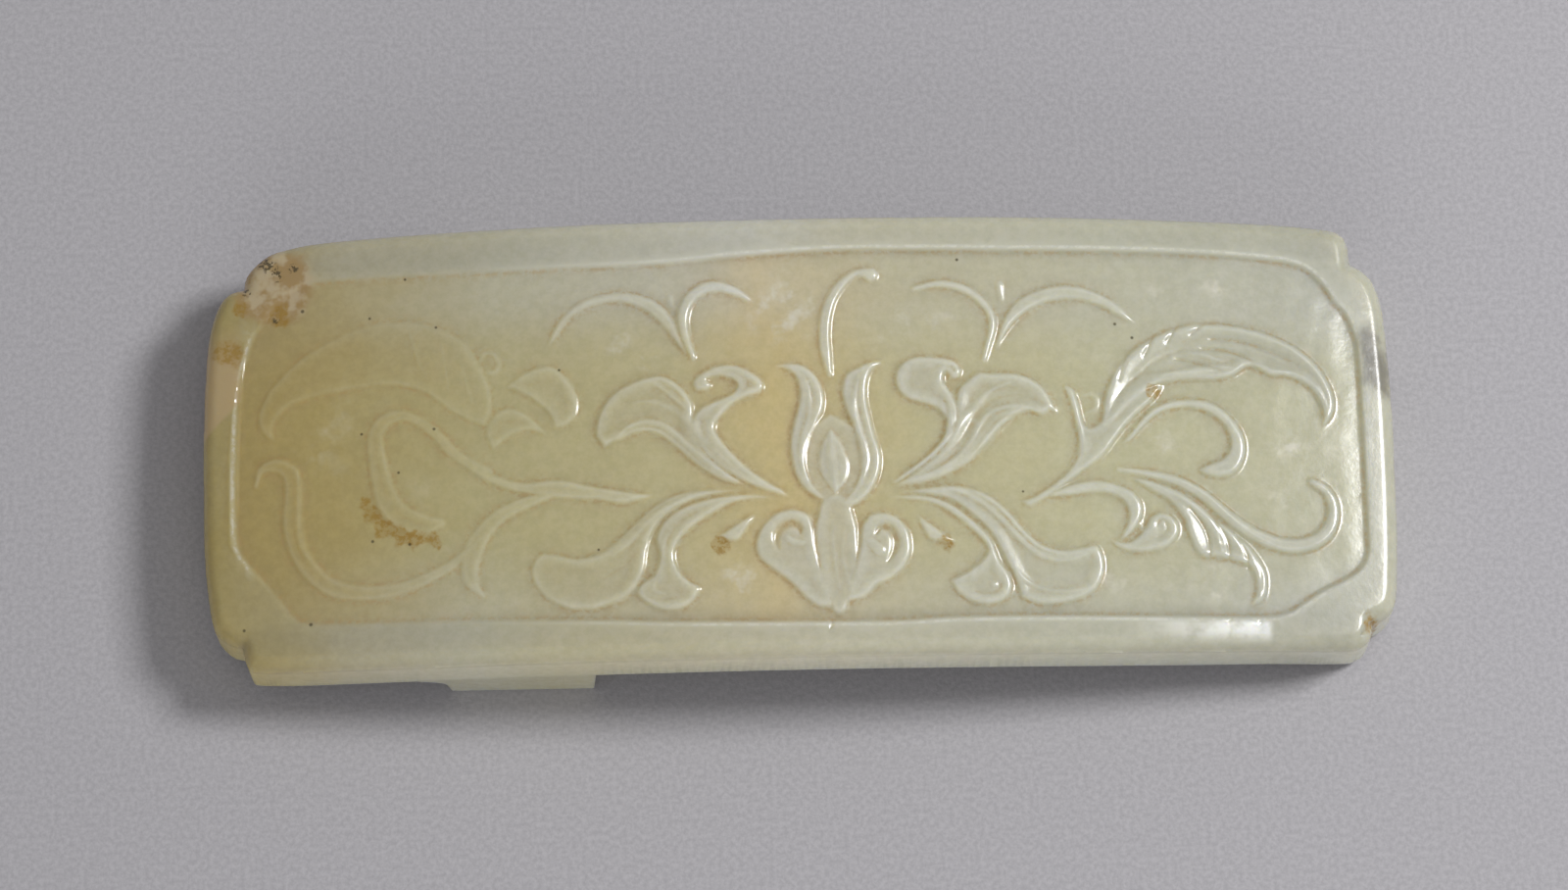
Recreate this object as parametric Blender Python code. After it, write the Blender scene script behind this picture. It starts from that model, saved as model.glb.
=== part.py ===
# Jade belt buckle: an arched plaque carved with a lotus scroll, with a belt loop beneath.
# It is one carved piece, lying face up on the loop and its right end.
# Metres, +Z up, length along X, origin below the middle of its box.

import math

import bmesh
import bpy
import numpy as np

# Plaque
PLAQUE_LENGTH = 0.1000
PLAQUE_WIDTH = 0.0381
EDGE_THICKNESS = 0.0060
CROSS_CROWN = 0.0005
ARCH_RISE = 0.0043
LEFT_END_LIFT = 0.0012
SIDE_BOW = 0.0007
END_BOW = 0.0007
ARRIS_ROUND = 0.0006
REST_STRIP = 0.0010

# Indented corners: how far each notch goes in, and the lobes on both sides of it
NOTCH_FROM_END = 0.0032
BACK_NOTCH_FROM_SIDE = 0.0041
FRONT_NOTCH_FROM_SIDE = 0.0029
SIDE_LOBE = 0.0060
END_LOBE = 0.0068
NOTCH_FULLNESS = 1.0

# Raised border and the sunk panel inside it
END_BORDER = 0.0026
BACK_BORDER = 0.0031
FRONT_BORDER = 0.0026
BORDER_BEVEL = 0.0006
PANEL_DEPTH = 0.00048
PANEL_NOTCH_FROM_END = 0.0020
PANEL_NOTCH_FROM_SIDE = 0.0038
PANEL_SIDE_LOBE = 0.0036
PANEL_END_LOBE = 0.0052
PANEL_FULLNESS = 0.6

# Height of the carving, and the wear that leaves a share of it at the left end
CARVING_HEIGHT = 0.00066
WORN_SHARE = 0.55
WORN_TO = -0.0280
CRISP_FROM = -0.0100

# Belt loop beneath the left third, and the slot that the belt runs through
LOOP_LEFT = -0.0297
LOOP_RIGHT = -0.0174
LOOP_BAR = 0.0018
LOOP_SWEEP = 0.0024
SLOT_WIDTH = 0.0280
SLOT_HEIGHT = 0.0044
SLOT_PAST_LOOP = 0.0046
SLOT_RUN_OUT = 0.0080
SLOT_CORNER = 0.0010

# Fineness of the surface before and after its flat places are simplified
SURFACE_STEP = 0.00032
SURFACE_KEPT = 0.1
LOBE_STEPS = 7
SIDE_STEPS = 8
ARCH_STEPS = 12
RAMP_STEPS = 4
SPARE = 0.0010

# The carving is drawn in millimetres on a panel of this size, then stretched to the real one
DRAWN_LENGTH = 94.8
DRAWN_WIDTH = 32.4
DRAWN_STEP = 0.6

# A petal's edge rises over the first of these, keeps a lip, then falls into the hollowed face
EDGE_RISE = 0.55
LIP_WIDTH = 0.35
HOLLOW_RUN = 1.2


def clear_scene():
    for thing in list(bpy.data.objects):
        bpy.data.objects.remove(thing, do_unlink=True)


# Outlines

def quarter_lobe(centre, reach, fullness):
    """From the lobe's top round to its outermost point: a quarter ellipse, or a flatter bulge."""
    points = []
    for i in range(LOBE_STEPS + 1):
        share = i / LOBE_STEPS
        turn = (1 - share) * math.pi / 2
        x = share + fullness * (math.cos(turn) - share)
        y = 1 - share + fullness * (math.sin(turn) - 1 + share)
        points.append((centre[0] + reach[0] * x, centre[1] + reach[1] * y))
    return points


def indented_corner(half_length, side, notch, lobes, fullness):
    """Right back corner, from the long side to the end: lobe, inward cusp, lobe."""
    cusp = (half_length - notch[0], side - notch[1])
    on_side = quarter_lobe((cusp[0] - lobes[0], cusp[1]), (lobes[0], notch[1]), fullness)
    on_end = quarter_lobe((cusp[0], cusp[1] - lobes[1]), (notch[0], lobes[1]), fullness)
    return on_side + on_end[1:]


def between(start, end):
    return [
        (start[0] + (end[0] - start[0]) * i / SIDE_STEPS, start[1] + (end[1] - start[1]) * i / SIDE_STEPS)
        for i in range(1, SIDE_STEPS)
    ]


def bowed(x, y):
    """The long sides and the ends swell outwards at their middles."""
    along = 2 * x / PLAQUE_LENGTH
    across = 2 * y / PLAQUE_WIDTH
    return x - END_BOW * along * across ** 2, y - SIDE_BOW * across * along ** 2


def closed_ring(half_length, back_corner, front_corner):
    """The whole outline, anticlockwise from above, made from one back and one front corner."""
    right_front = [(x, -y) for x, y in front_corner]
    right_back = [(x, y) for x, y in reversed(back_corner)]
    left_back = [(-x, y) for x, y in back_corner]
    left_front = [(-x, -y) for x, y in reversed(front_corner)]
    points = between(left_front[-1], right_front[0]) + right_front + [(half_length, 0.0)] + right_back
    points += between(right_back[-1], left_back[0]) + left_back + [(-half_length, 0.0)] + left_front
    return [bowed(x, y) for x, y in points]


def plaque_ring():
    half_length = PLAQUE_LENGTH / 2
    side = PLAQUE_WIDTH / 2
    lobes = (SIDE_LOBE, END_LOBE)
    back_notch = (NOTCH_FROM_END, BACK_NOTCH_FROM_SIDE)
    front_notch = (NOTCH_FROM_END, FRONT_NOTCH_FROM_SIDE)
    back = indented_corner(half_length, side, back_notch, lobes, NOTCH_FULLNESS)
    front = indented_corner(half_length, side, front_notch, lobes, NOTCH_FULLNESS)
    return closed_ring(half_length, back, front)


def panel_ring():
    half_length = PLAQUE_LENGTH / 2 - END_BORDER
    notch = (PANEL_NOTCH_FROM_END, PANEL_NOTCH_FROM_SIDE)
    lobes = (PANEL_SIDE_LOBE, PANEL_END_LOBE)
    back = indented_corner(half_length, PLAQUE_WIDTH / 2 - BACK_BORDER, notch, lobes, PANEL_FULLNESS)
    front = indented_corner(half_length, PLAQUE_WIDTH / 2 - FRONT_BORDER, notch, lobes, PANEL_FULLNESS)
    return closed_ring(half_length, back, front)


def depth_inside(ring, x, y):
    """How far each point lies inside a closed outline; outside it counts below nothing."""
    nearest = np.full(x.shape, np.inf)
    inside = np.zeros(x.shape, dtype=bool)
    for (ax, ay), (bx, by) in zip(ring, ring[1:] + ring[:1]):
        run_x = bx - ax
        run_y = by - ay
        share = np.clip(((x - ax) * run_x + (y - ay) * run_y) / (run_x ** 2 + run_y ** 2), 0, 1)
        nearest = np.minimum(nearest, np.hypot(x - ax - share * run_x, y - ay - share * run_y))
        if ay != by:
            crosses = (ay > y) != (by > y)
            inside ^= crosses & (x < ax + run_x * (y - ay) / run_y)
    return np.where(inside, nearest, -nearest)


# Forms of the carving: outlines run from the root to the tip and back, lines from root to tip

def smooth_line(points, *widths):
    """A smooth curve through the drawn points, with the widths spread evenly along it."""
    drawn = np.array(points, dtype=float)
    ahead = 2 * drawn[-1] - drawn[-2]
    behind = 2 * drawn[0] - drawn[1]
    guide = np.vstack([behind, drawn, ahead])
    line = []
    places = []
    for i in range(len(drawn) - 1):
        before, start, end, after = guide[i:i + 4]
        steps = max(2, math.ceil(np.hypot(*(end - start)) / DRAWN_STEP))
        for step in range(steps):
            t = step / steps
            bend = 2 * before - 5 * start + 4 * end - after
            turn = 3 * start - before - 3 * end + after
            line.append(start + 0.5 * t * (end - before + t * (bend + t * turn)))
            places.append(i + t)
    line.append(drawn[-1])
    places.append(len(drawn) - 1.0)
    spread = [np.interp(places, np.linspace(0, len(drawn) - 1, len(w)), w) for w in widths]
    return np.array(line), spread


def closed_outline(*sides):
    """The sides one after another, each smooth, meeting in a corner or a tip."""
    return [tuple(point) for side in sides for point in smooth_line(side)[0][:-1]]


def petal(to_tip, back, height, dish=0.35):
    """A petal or leaf: raised as a whole, with a lip along its edge and a hollowed face."""
    ring = closed_outline(to_tip, [to_tip[-1], *back, to_tip[0]])
    return {"form": "petal", "line": np.array(ring), "reach": 0.0, "height": height, "dish": dish}


def stem(points, widths, height, dish=0.1):
    """A flat-topped ribbon, as wide as the widths given from root to tip."""
    line, (width,) = smooth_line(points, widths)
    reach = max(widths) / 2
    return {"form": "stem", "line": line, "half": width / 2, "reach": reach, "height": height, "dish": dish}


def vein(points, height, width=0.5):
    """A fine ridge laid over whatever lies under it, or a groove cut into it."""
    line, (half,) = smooth_line(points, [0.1, width / 2, width / 2, 0.1])
    return {"form": "vein", "line": line, "half": half, "reach": width / 2, "height": height}


def beside(line, half, u, v):
    """How far each place is from a drawn line, and the line's half width nearest to it."""
    start = line[:-1]
    run = line[1:] - start
    across_u = u[:, None] - start[:, 0]
    across_v = v[:, None] - start[:, 1]
    share = (across_u * run[:, 0] + across_v * run[:, 1]) / (run ** 2).sum(axis=1)
    share = np.clip(share, 0, 1)
    away = np.hypot(across_u - share * run[:, 0], across_v - share * run[:, 1])
    nearest = away.argmin(axis=1)
    here = np.arange(len(u))
    return away[here, nearest], np.interp(nearest + share[here, nearest], np.arange(len(line)), half)


def eased(value):
    value = np.clip(value, 0, 1)
    return value * value * (3 - 2 * value)


def stroke_height(stroke, u, v):
    if stroke["form"] == "petal":
        depth = depth_inside([tuple(point) for point in stroke["line"]], u, v)
    else:
        away, half = beside(stroke["line"], stroke["half"], u, v)
        if stroke["form"] == "vein":
            return stroke["height"] * (1 - np.clip(away / half, 0, 1) ** 2) ** 2
        depth = half - away
    hollow = stroke["dish"] * eased((depth - LIP_WIDTH) / HOLLOW_RUN)
    return stroke["height"] * (eased(depth / EDGE_RISE) - hollow)


def carved_height(strokes, u, v):
    """The highest petal or stem at each place on the drawn panel, with the veins laid over it."""
    height = np.zeros(u.shape)
    for stroke in sorted(strokes, key=lambda stroke: stroke["form"] == "vein"):
        low = stroke["line"].min(axis=0) - stroke["reach"]
        high = stroke["line"].max(axis=0) + stroke["reach"]
        near = np.nonzero((u > low[0]) & (u < high[0]) & (v > low[1]) & (v < high[1]))[0]
        if len(near):
            own = stroke_height(stroke, u[near], v[near])
            height[near] = height[near] + own if stroke["form"] == "vein" else np.maximum(height[near], own)
    return height


# The carving, in drawn millimetres from the middle of the plaque

def lotus():
    return [
        petal([(2.9, -6.8), (0.8, -5.4), (-0.3, -3.4), (0.0, -1.0), (1.2, 0.6), (2.6, 1.6)],
              [(4.2, 0.7), (6.0, -0.8), (6.5, -2.8), (5.7, -5.2)], 0.42, 0.2),
        petal([(2.9, -6.7), (1.4, -5.9), (0.2, -5.0), (-0.5, -3.8), (-0.8, -2.5), (-0.9, -1.0),
               (-0.6, 0.6), (-0.2, 2.0), (0.0, 3.2), (-0.2, 4.4), (-0.8, 5.2), (-2.4, 5.8)],
              [(-0.4, 6.0), (0.5, 5.8), (1.4, 5.1), (2.0, 4.2), (2.3, 3.0), (2.2, 1.8), (1.7, 0.6),
               (1.0, -0.9), (0.7, -2.6), (1.1, -4.4)], 0.72),
        petal([(2.9, -6.7), (4.4, -6.7), (5.8, -5.6), (6.6, -4.2), (6.9, -2.8), (6.8, -1.6), (6.4, -0.3),
               (6.1, 1.2), (5.85, 2.6), (5.9, 4.0), (6.3, 5.1), (7.4, 6.1)],
              [(5.9, 5.95), (4.9, 5.5), (4.0, 5.0), (3.5, 3.6), (3.8, 1.9), (4.3, 0.4), (4.7, -1.2),
               (4.9, -2.8), (4.5, -4.6)], 0.72),
        petal([(2.9, -5.9), (1.6, -3.9), (1.4, -2.2), (1.9, -0.6), (2.6, 0.4)],
              [(3.4, -0.5), (4.0, -1.9), (4.3, -3.2), (3.9, -4.6)], 0.62, 0.0),
        vein([(2.7, 0.0), (2.7, -2.0), (2.8, -3.8), (2.9, -5.6)], 0.16, 1.0),
        stem([(2.7, 4.9), (2.35, 7.0), (2.35, 9.2), (2.85, 11.3), (3.9, 12.9), (5.2, 13.8), (6.3, 13.6)],
             [0.7, 1.2, 1.2, 1.1, 1.0, 0.8, 1.5], 0.6, 0.0),
    ]


def curled_petals():
    return [
        petal([(-0.8, -5.8), (-1.4, -5.0), (-2.5, -4.3), (-4.2, -3.0), (-5.8, -1.3), (-6.7, 0.0),
               (-6.8, 0.7), (-6.2, 1.5), (-5.3, 2.4), (-4.0, 3.0), (-3.1, 3.3), (-2.7, 3.9), (-2.9, 4.5),
               (-3.5, 5.1), (-4.5, 5.7), (-5.5, 6.0), (-6.6, 5.95), (-7.6, 5.6), (-8.5, 5.0), (-8.9, 4.3),
               (-8.5, 3.6), (-7.5, 3.6)],
              [(-7.0, 4.2), (-7.4, 4.6), (-6.5, 4.8), (-5.5, 4.5), (-5.2, 4.0), (-5.7, 3.4), (-6.9, 2.9),
               (-8.2, 2.3), (-9.0, 1.2), (-8.9, -0.4), (-7.8, -2.1), (-6.0, -3.6), (-3.6, -4.9)], 0.72,
              0.6),
        vein([(-6.6, 3.1), (-7.6, 1.6), (-7.7, 0.0), (-6.6, -1.8), (-4.6, -3.8)], 0.12, 0.8),
        petal([(7.2, -4.8), (8.8, -3.5), (10.3, -2.4), (11.4, -1.3), (12.0, -0.2), (12.1, 0.8),
               (11.6, 1.6), (10.5, 2.1), (9.4, 2.4), (8.5, 3.0), (8.0, 4.0), (8.1, 5.1), (8.8, 5.95),
               (9.8, 6.4), (11.2, 6.4), (12.4, 6.25), (13.3, 5.9), (13.8, 5.1), (13.5, 4.4),
               (12.8, 4.3)],
              [(12.4, 4.8), (12.3, 4.1), (12.9, 3.2), (13.4, 2.0), (13.4, 0.6), (12.8, -0.9),
               (11.6, -2.2), (10.1, -3.4), (8.6, -4.4)], 0.74, 0.4),
    ]


def striated_petals():
    return [
        petal([(-4.4, -4.6), (-6.3, -3.0), (-7.9, -1.2), (-8.6, 0.8), (-8.7, 2.7), (-9.8, 4.3),
               (-11.2, 5.15), (-12.6, 5.1), (-14.0, 4.6), (-15.3, 3.9), (-16.3, 2.8), (-16.9, 1.4),
               (-17.0, 0.0), (-16.2, -1.1)],
              [(-15.5, -0.7), (-14.8, -0.5), (-13.5, 0.1), (-12.0, 0.0), (-10.8, -0.8), (-9.5, -2.0),
               (-8.0, -3.3), (-6.2, -4.3)], 0.66, 0.55),
        vein([(-15.0, -0.1), (-14.2, 0.7), (-12.8, 1.15), (-11.3, 0.85), (-10.2, 0.0), (-9.0, -1.2),
              (-7.5, -2.6), (-6.0, -3.7), (-4.8, -4.4)], 0.26, 0.6),
        vein([(-13.6, 2.9), (-12.0, 2.8), (-10.4, 2.1), (-8.8, 0.6), (-7.4, -1.1), (-5.6, -3.0)], 0.16,
             0.9),
        petal([(7.6, -4.9), (9.6, -3.5), (11.7, -1.7), (12.9, 0.3), (13.0, 2.2), (13.3, 3.5), (14.2, 4.4),
               (15.1, 5.0), (16.4, 4.9), (17.8, 4.95), (19.2, 4.6), (20.4, 3.8), (21.2, 2.6),
               (21.8, 1.1)],
              [(21.0, 1.5), (20.4, 1.0), (19.3, 1.4), (18.0, 0.9), (16.9, 0.0), (15.8, -1.2),
               (14.8, -2.3), (13.8, -3.2), (12.2, -4.1), (10.0, -4.8)], 0.66, 0.55),
        vein([(20.1, 1.4), (18.8, 1.85), (17.4, 1.9), (16.0, 1.4), (15.0, 0.3), (14.3, -1.0),
              (13.3, -2.3), (12.2, -3.2), (10.8, -3.9), (9.2, -4.4)], 0.26, 0.65),
        vein([(17.8, 4.0), (16.2, 3.4), (14.9, 2.2), (13.8, 0.8), (12.6, -0.7), (11.0, -2.3),
              (9.4, -3.6)], 0.2, 0.9),
        vein([(18.6, 3.0), (16.8, 2.7), (15.2, 1.6), (14.2, 0.2), (13.2, -1.2), (11.8, -2.6)], -0.1, 0.7),
    ]


def forked_sprouts():
    return [
        petal([(-8.7, 6.3), (-9.4, 8.0), (-10.2, 10.0), (-11.3, 11.4), (-12.9, 12.3), (-14.8, 12.6),
               (-16.8, 12.4), (-18.4, 11.7), (-19.7, 10.6), (-20.5, 9.3), (-21.0, 7.8)],
              [(-20.0, 8.6), (-18.9, 10.2), (-17.3, 11.2), (-15.4, 11.6), (-13.7, 11.3), (-12.2, 10.4),
               (-10.9, 8.9), (-9.8, 7.4)], 0.62, 0.3),
        petal([(-8.8, 6.1), (-9.7, 8.0), (-10.1, 9.4), (-10.1, 10.6), (-9.5, 12.0), (-8.5, 12.9),
               (-7.5, 13.35), (-6.3, 13.35), (-5.2, 12.95), (-4.2, 12.3), (-3.4, 11.2)],
              [(-4.7, 11.6), (-5.7, 12.0), (-6.8, 12.2), (-7.8, 11.9), (-8.6, 11.0), (-8.9, 9.8),
               (-8.7, 8.2), (-8.3, 6.6)], 0.72, 0.1),
        stem([(-10.5, 12.0), (-10.4, 11.3)], [0.6, 0.5], 0.4),
        stem([(15.6, 6.0), (16.0, 7.4), (16.4, 8.8), (16.3, 10.0), (15.6, 11.1), (14.4, 12.1),
              (13.1, 12.6), (11.6, 12.7), (9.9, 12.3)], [0.6, 0.8, 0.9, 0.9, 0.9, 0.9, 0.6], 0.66),
        petal([(16.4, 6.2), (16.8, 8.2), (17.4, 9.9), (18.4, 11.2), (19.9, 12.1), (21.8, 12.6),
               (24.0, 12.5), (26.0, 11.7), (27.5, 10.6), (28.6, 9.1)],
              [(27.0, 9.8), (25.4, 10.7), (23.5, 11.2), (21.5, 11.1), (19.8, 10.4), (18.4, 9.3),
               (17.3, 7.8)], 0.6, 0.25),
        stem([(17.1, 12.7), (17.25, 11.2)], [0.8, 0.4], 0.4),
    ]


def base_spirals():
    return [
        petal([(2.7, -15.3), (1.2, -15.1), (0.2, -14.4), (-0.5, -13.6), (-1.2, -12.9), (-2.2, -12.1),
               (-3.1, -11.4), (-3.8, -10.5), (-3.9, -9.4), (-3.3, -8.0), (-2.2, -7.0), (-0.9, -6.6),
               (0.2, -6.8), (0.9, -7.3)], [(1.2, -8.4), (1.3, -9.8), (1.7, -11.5), (2.3, -13.4)], 0.68,
              0.25),
        vein([(-1.9, -10.0), (-2.1, -9.2), (-1.7, -8.3), (-0.8, -7.9), (-0.1, -8.3), (-0.1, -8.8)],
             -0.46, 1.1),
        stem([(0.2, -9.6), (-0.6, -9.5), (-1.1, -9.1)], [0.9, 1.1, 1.0], 0.72, 0.0),
        petal([(3.2, -15.3), (4.0, -14.7), (4.9, -14.5), (5.6, -14.1), (6.2, -13.4), (7.4, -12.9),
               (8.5, -11.9), (9.1, -10.8), (9.2, -9.6), (8.9, -8.4), (8.0, -7.4), (6.8, -7.0),
               (5.6, -7.2)], [(4.9, -8.2), (4.7, -9.8), (4.3, -11.5), (3.7, -13.4)], 0.68, 0.25),
        vein([(7.1, -11.4), (7.6, -10.5), (7.8, -9.4), (7.3, -8.5), (6.6, -8.4), (6.2, -9.0)], -0.46,
             1.1),
        stem([(5.8, -9.7), (6.4, -10.3)], [1.3, 1.5], 0.74, 0.0),
        stem([(2.9, -6.8), (2.9, -9.0), (3.0, -11.5), (3.0, -15.0)], [3.0, 3.8, 3.8, 3.4, 1.6], 0.56,
             0.25),
        petal([(-3.5, -6.8), (-5.3, -7.7), (-7.2, -9.0)], [(-5.9, -9.4), (-5.1, -9.3), (-4.3, -8.2)],
              0.6, 0.2),
        petal([(9.5, -7.1), (11.0, -8.2), (13.1, -9.7)], [(11.5, -9.8), (10.5, -9.5), (9.9, -8.4)], 0.6,
              0.2),
    ]


def lower_leaves():
    return [
        petal([(-0.8, -5.9), (-3.5, -5.8), (-5.4, -6.1), (-7.0, -6.9), (-8.6, -7.9), (-9.8, -9.0),
               (-10.4, -10.2), (-10.2, -11.3), (-9.5, -12.3), (-8.2, -13.2)],
              [(-9.0, -14.5), (-10.2, -15.1), (-11.6, -15.1), (-12.9, -14.5), (-13.8, -13.5),
               (-13.4, -12.6), (-12.4, -12.0), (-11.9, -10.4), (-12.2, -9.0), (-11.6, -7.6),
               (-10.2, -6.4), (-7.5, -5.5), (-4.0, -5.3)], 0.66, 0.4),
        vein([(-11.4, -13.6), (-12.3, -13.3), (-12.2, -12.7)], 0.22, 0.7),
        vein([(-10.4, -13.9), (-11.8, -14.2), (-12.9, -13.7)], -0.16, 0.6),
        petal([(-4.5, -4.9), (-7.5, -4.8), (-10.2, -5.1), (-12.2, -6.1), (-13.8, -7.5), (-15.3, -8.9),
               (-16.8, -9.9), (-18.6, -10.3), (-20.3, -9.9), (-21.6, -9.8), (-22.4, -10.6),
               (-22.5, -11.8), (-21.9, -13.1), (-20.8, -14.1), (-19.2, -14.8), (-17.3, -14.9)],
              [(-15.9, -14.4), (-14.5, -13.9), (-13.5, -12.9), (-12.9, -11.5), (-12.6, -9.6),
               (-11.8, -7.9), (-10.2, -6.5), (-8.0, -5.6)], 0.62, 0.5),
        vein([(-11.6, -7.6), (-13.4, -9.8), (-14.8, -11.2), (-16.4, -12.2)], -0.1, 0.8),
        vein([(-14.5, -13.9), (-15.9, -14.3), (-17.3, -14.6)], 0.2, 0.6),
        petal([(6.8, -5.7), (9.0, -6.1), (10.4, -6.3), (11.8, -6.9), (13.0, -7.8), (14.2, -8.9),
               (15.0, -9.7), (15.3, -10.4), (14.8, -11.2), (14.0, -11.9), (13.1, -12.4), (12.1, -12.9)],
              [(12.6, -13.9), (13.6, -14.7), (14.8, -15.1), (16.1, -15.0), (17.1, -14.4), (17.5, -13.4),
               (17.2, -12.3), (16.6, -11.4), (16.2, -10.2), (15.5, -9.0), (14.1, -7.6), (12.2, -6.2),
               (10.0, -5.6)], 0.66, 0.4),
        vein([(14.2, -13.9), (15.4, -14.1), (16.3, -13.8), (16.4, -13.1)], -0.16, 0.6),
        vein([(15.7, -13.5), (16.0, -13.2)], 0.3, 0.9),
        petal([(8.0, -5.3), (12.0, -4.8), (14.2, -5.0), (15.9, -5.8), (17.3, -7.0), (18.6, -8.6),
               (19.9, -9.8), (21.3, -10.3), (23.0, -10.2), (24.5, -9.9), (25.1, -11.0), (25.1, -12.4),
               (24.4, -13.8), (22.9, -14.7), (21.0, -15.1), (19.4, -15.1), (18.0, -14.5)],
              [(17.6, -13.2), (17.1, -12.0), (16.4, -10.5), (15.6, -9.0), (14.2, -7.5), (12.4, -6.2),
               (10.4, -5.7)], 0.64, 0.5),
    ]


def right_scroll():
    return [
        petal([(18.2, -6.2), (19.5, -5.7), (21.0, -4.7), (22.2, -3.6), (23.0, -2.4), (23.2, -1.2),
               (23.0, 0.2), (22.7, 1.8), (22.1, 3.9)],
              [(23.0, 3.6), (23.5, 2.4), (23.8, 0.8), (24.2, 0.2), (25.0, 0.6), (26.4, 2.0), (27.9, 3.1),
               (29.3, 3.7), (30.6, 3.9), (29.9, 2.6), (28.6, 1.4), (27.4, 0.2), (26.4, -1.1),
               (25.3, -2.5), (23.9, -3.6), (22.3, -4.8), (20.6, -6.0), (19.0, -6.8)], 0.56, 0.3),
        vein([(23.0, 3.3), (23.8, 2.9), (24.4, 3.1), (24.9, 2.5), (24.8, 1.8), (24.0, 1.4)], 0.16, 0.6),
        petal([(24.8, -0.6), (25.2, 1.0), (25.5, 2.8), (26.2, 4.6), (27.3, 6.2), (29.0, 7.6), (31.1, 8.7),
               (33.4, 9.3), (36.0, 9.3), (38.0, 9.0), (40.0, 8.4), (42.0, 7.4), (43.6, 6.0), (44.6, 4.5),
               (45.1, 2.9), (44.9, 1.4), (43.8, 0.1)],
              [(43.9, 1.4), (43.6, 2.6), (42.9, 3.7), (41.8, 4.4), (40.6, 4.7), (39.5, 4.7), (38.5, 5.35),
               (37.6, 5.35), (36.7, 4.7), (35.3, 4.3), (33.0, 4.2), (31.0, 4.0), (29.3, 3.3), (27.8, 2.1),
               (26.2, 0.5)], 0.66, 0.5),
        vein([(30.5, 4.7), (32.6, 5.0), (34.8, 5.4), (36.4, 5.5)], 0.28, 0.9),
        vein([(38.3, 5.7), (39.1, 5.4), (39.8, 5.1), (41.2, 5.0)], 0.2, 0.7),
        vein([(32.6, 6.7), (34.2, 6.5), (35.8, 5.9)], 0.16, 0.7),
        vein([(28.0, 4.2), (30.0, 5.9), (32.4, 7.0)], -0.14, 0.6),
        vein([(26.5, 2.6), (28.2, 4.4), (30.0, 5.0)], -0.12, 0.6),
        petal([(26.0, -1.6), (27.1, -0.9), (27.9, 0.1), (28.7, 1.1), (29.6, 1.9), (31.0, 2.5),
               (32.6, 2.7), (34.1, 2.6), (35.4, 2.0), (36.4, 1.0), (37.2, -0.3), (37.4, -1.6),
               (37.1, -2.9), (36.3, -3.9), (35.1, -4.25), (33.9, -4.1), (33.1, -3.5)],
              [(34.1, -2.9), (35.0, -2.6), (35.7, -1.9), (35.9, -1.0), (35.6, 0.1), (34.9, 0.9),
               (33.9, 1.5), (32.5, 1.8), (31.0, 1.6), (29.8, 1.0), (28.7, 0.0), (27.6, -1.1)], 0.74, 0.1),
        petal([(20.0, -6.0), (21.5, -5.1), (23.0, -4.6), (25.0, -4.4), (26.6, -4.8), (27.8, -5.4),
               (28.5, -6.4), (28.5, -7.4), (28.1, -8.3), (27.3, -9.2), (26.2, -9.8)],
              [(26.7, -8.8), (27.1, -7.8), (27.0, -6.7), (26.2, -5.9), (24.6, -5.6), (22.5, -5.9)], 0.66,
              0.15),
        petal([(25.4, -9.3), (26.3, -10.3), (27.6, -10.7), (29.2, -10.6), (30.6, -10.1), (31.5, -9.0),
               (31.4, -8.0), (30.7, -7.3), (29.8, -7.1)],
              [(29.0, -7.5), (28.5, -8.4), (27.7, -9.3), (26.8, -9.7)], 0.6, 0.35),
        stem([(28.3, -8.7), (28.2, -8.2)], [0.6, 0.6], 0.4),
        stem([(26.5, -3.5), (29.0, -3.9), (31.6, -4.6), (33.8, -5.9), (35.7, -7.6), (37.7, -9.0),
              (40.2, -9.9), (42.4, -9.7), (44.0, -8.5), (44.5, -6.7), (44.0, -5.2), (42.8, -4.4)],
             [0.5, 1.1, 1.2, 1.4, 1.5, 1.4, 1.2, 0.8], 0.6, 0.2),
        petal([(27.0, -3.9), (30.0, -4.6), (32.3, -5.7), (34.4, -7.5), (36.2, -8.9), (37.6, -10.3),
               (38.6, -12.0), (38.7, -13.6), (38.2, -14.8), (37.1, -15.1)],
              [(37.6, -13.7), (37.4, -12.3), (36.9, -11.7), (35.6, -11.3), (34.4, -11.1), (33.0, -10.9),
               (32.2, -9.4), (31.7, -7.7), (30.6, -6.3), (29.0, -5.3)], 0.64, 0.4),
        vein([(30.4, -5.4), (32.4, -6.4), (34.0, -8.0), (34.9, -10.4)], 0.14, 0.9),
    ]


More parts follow.
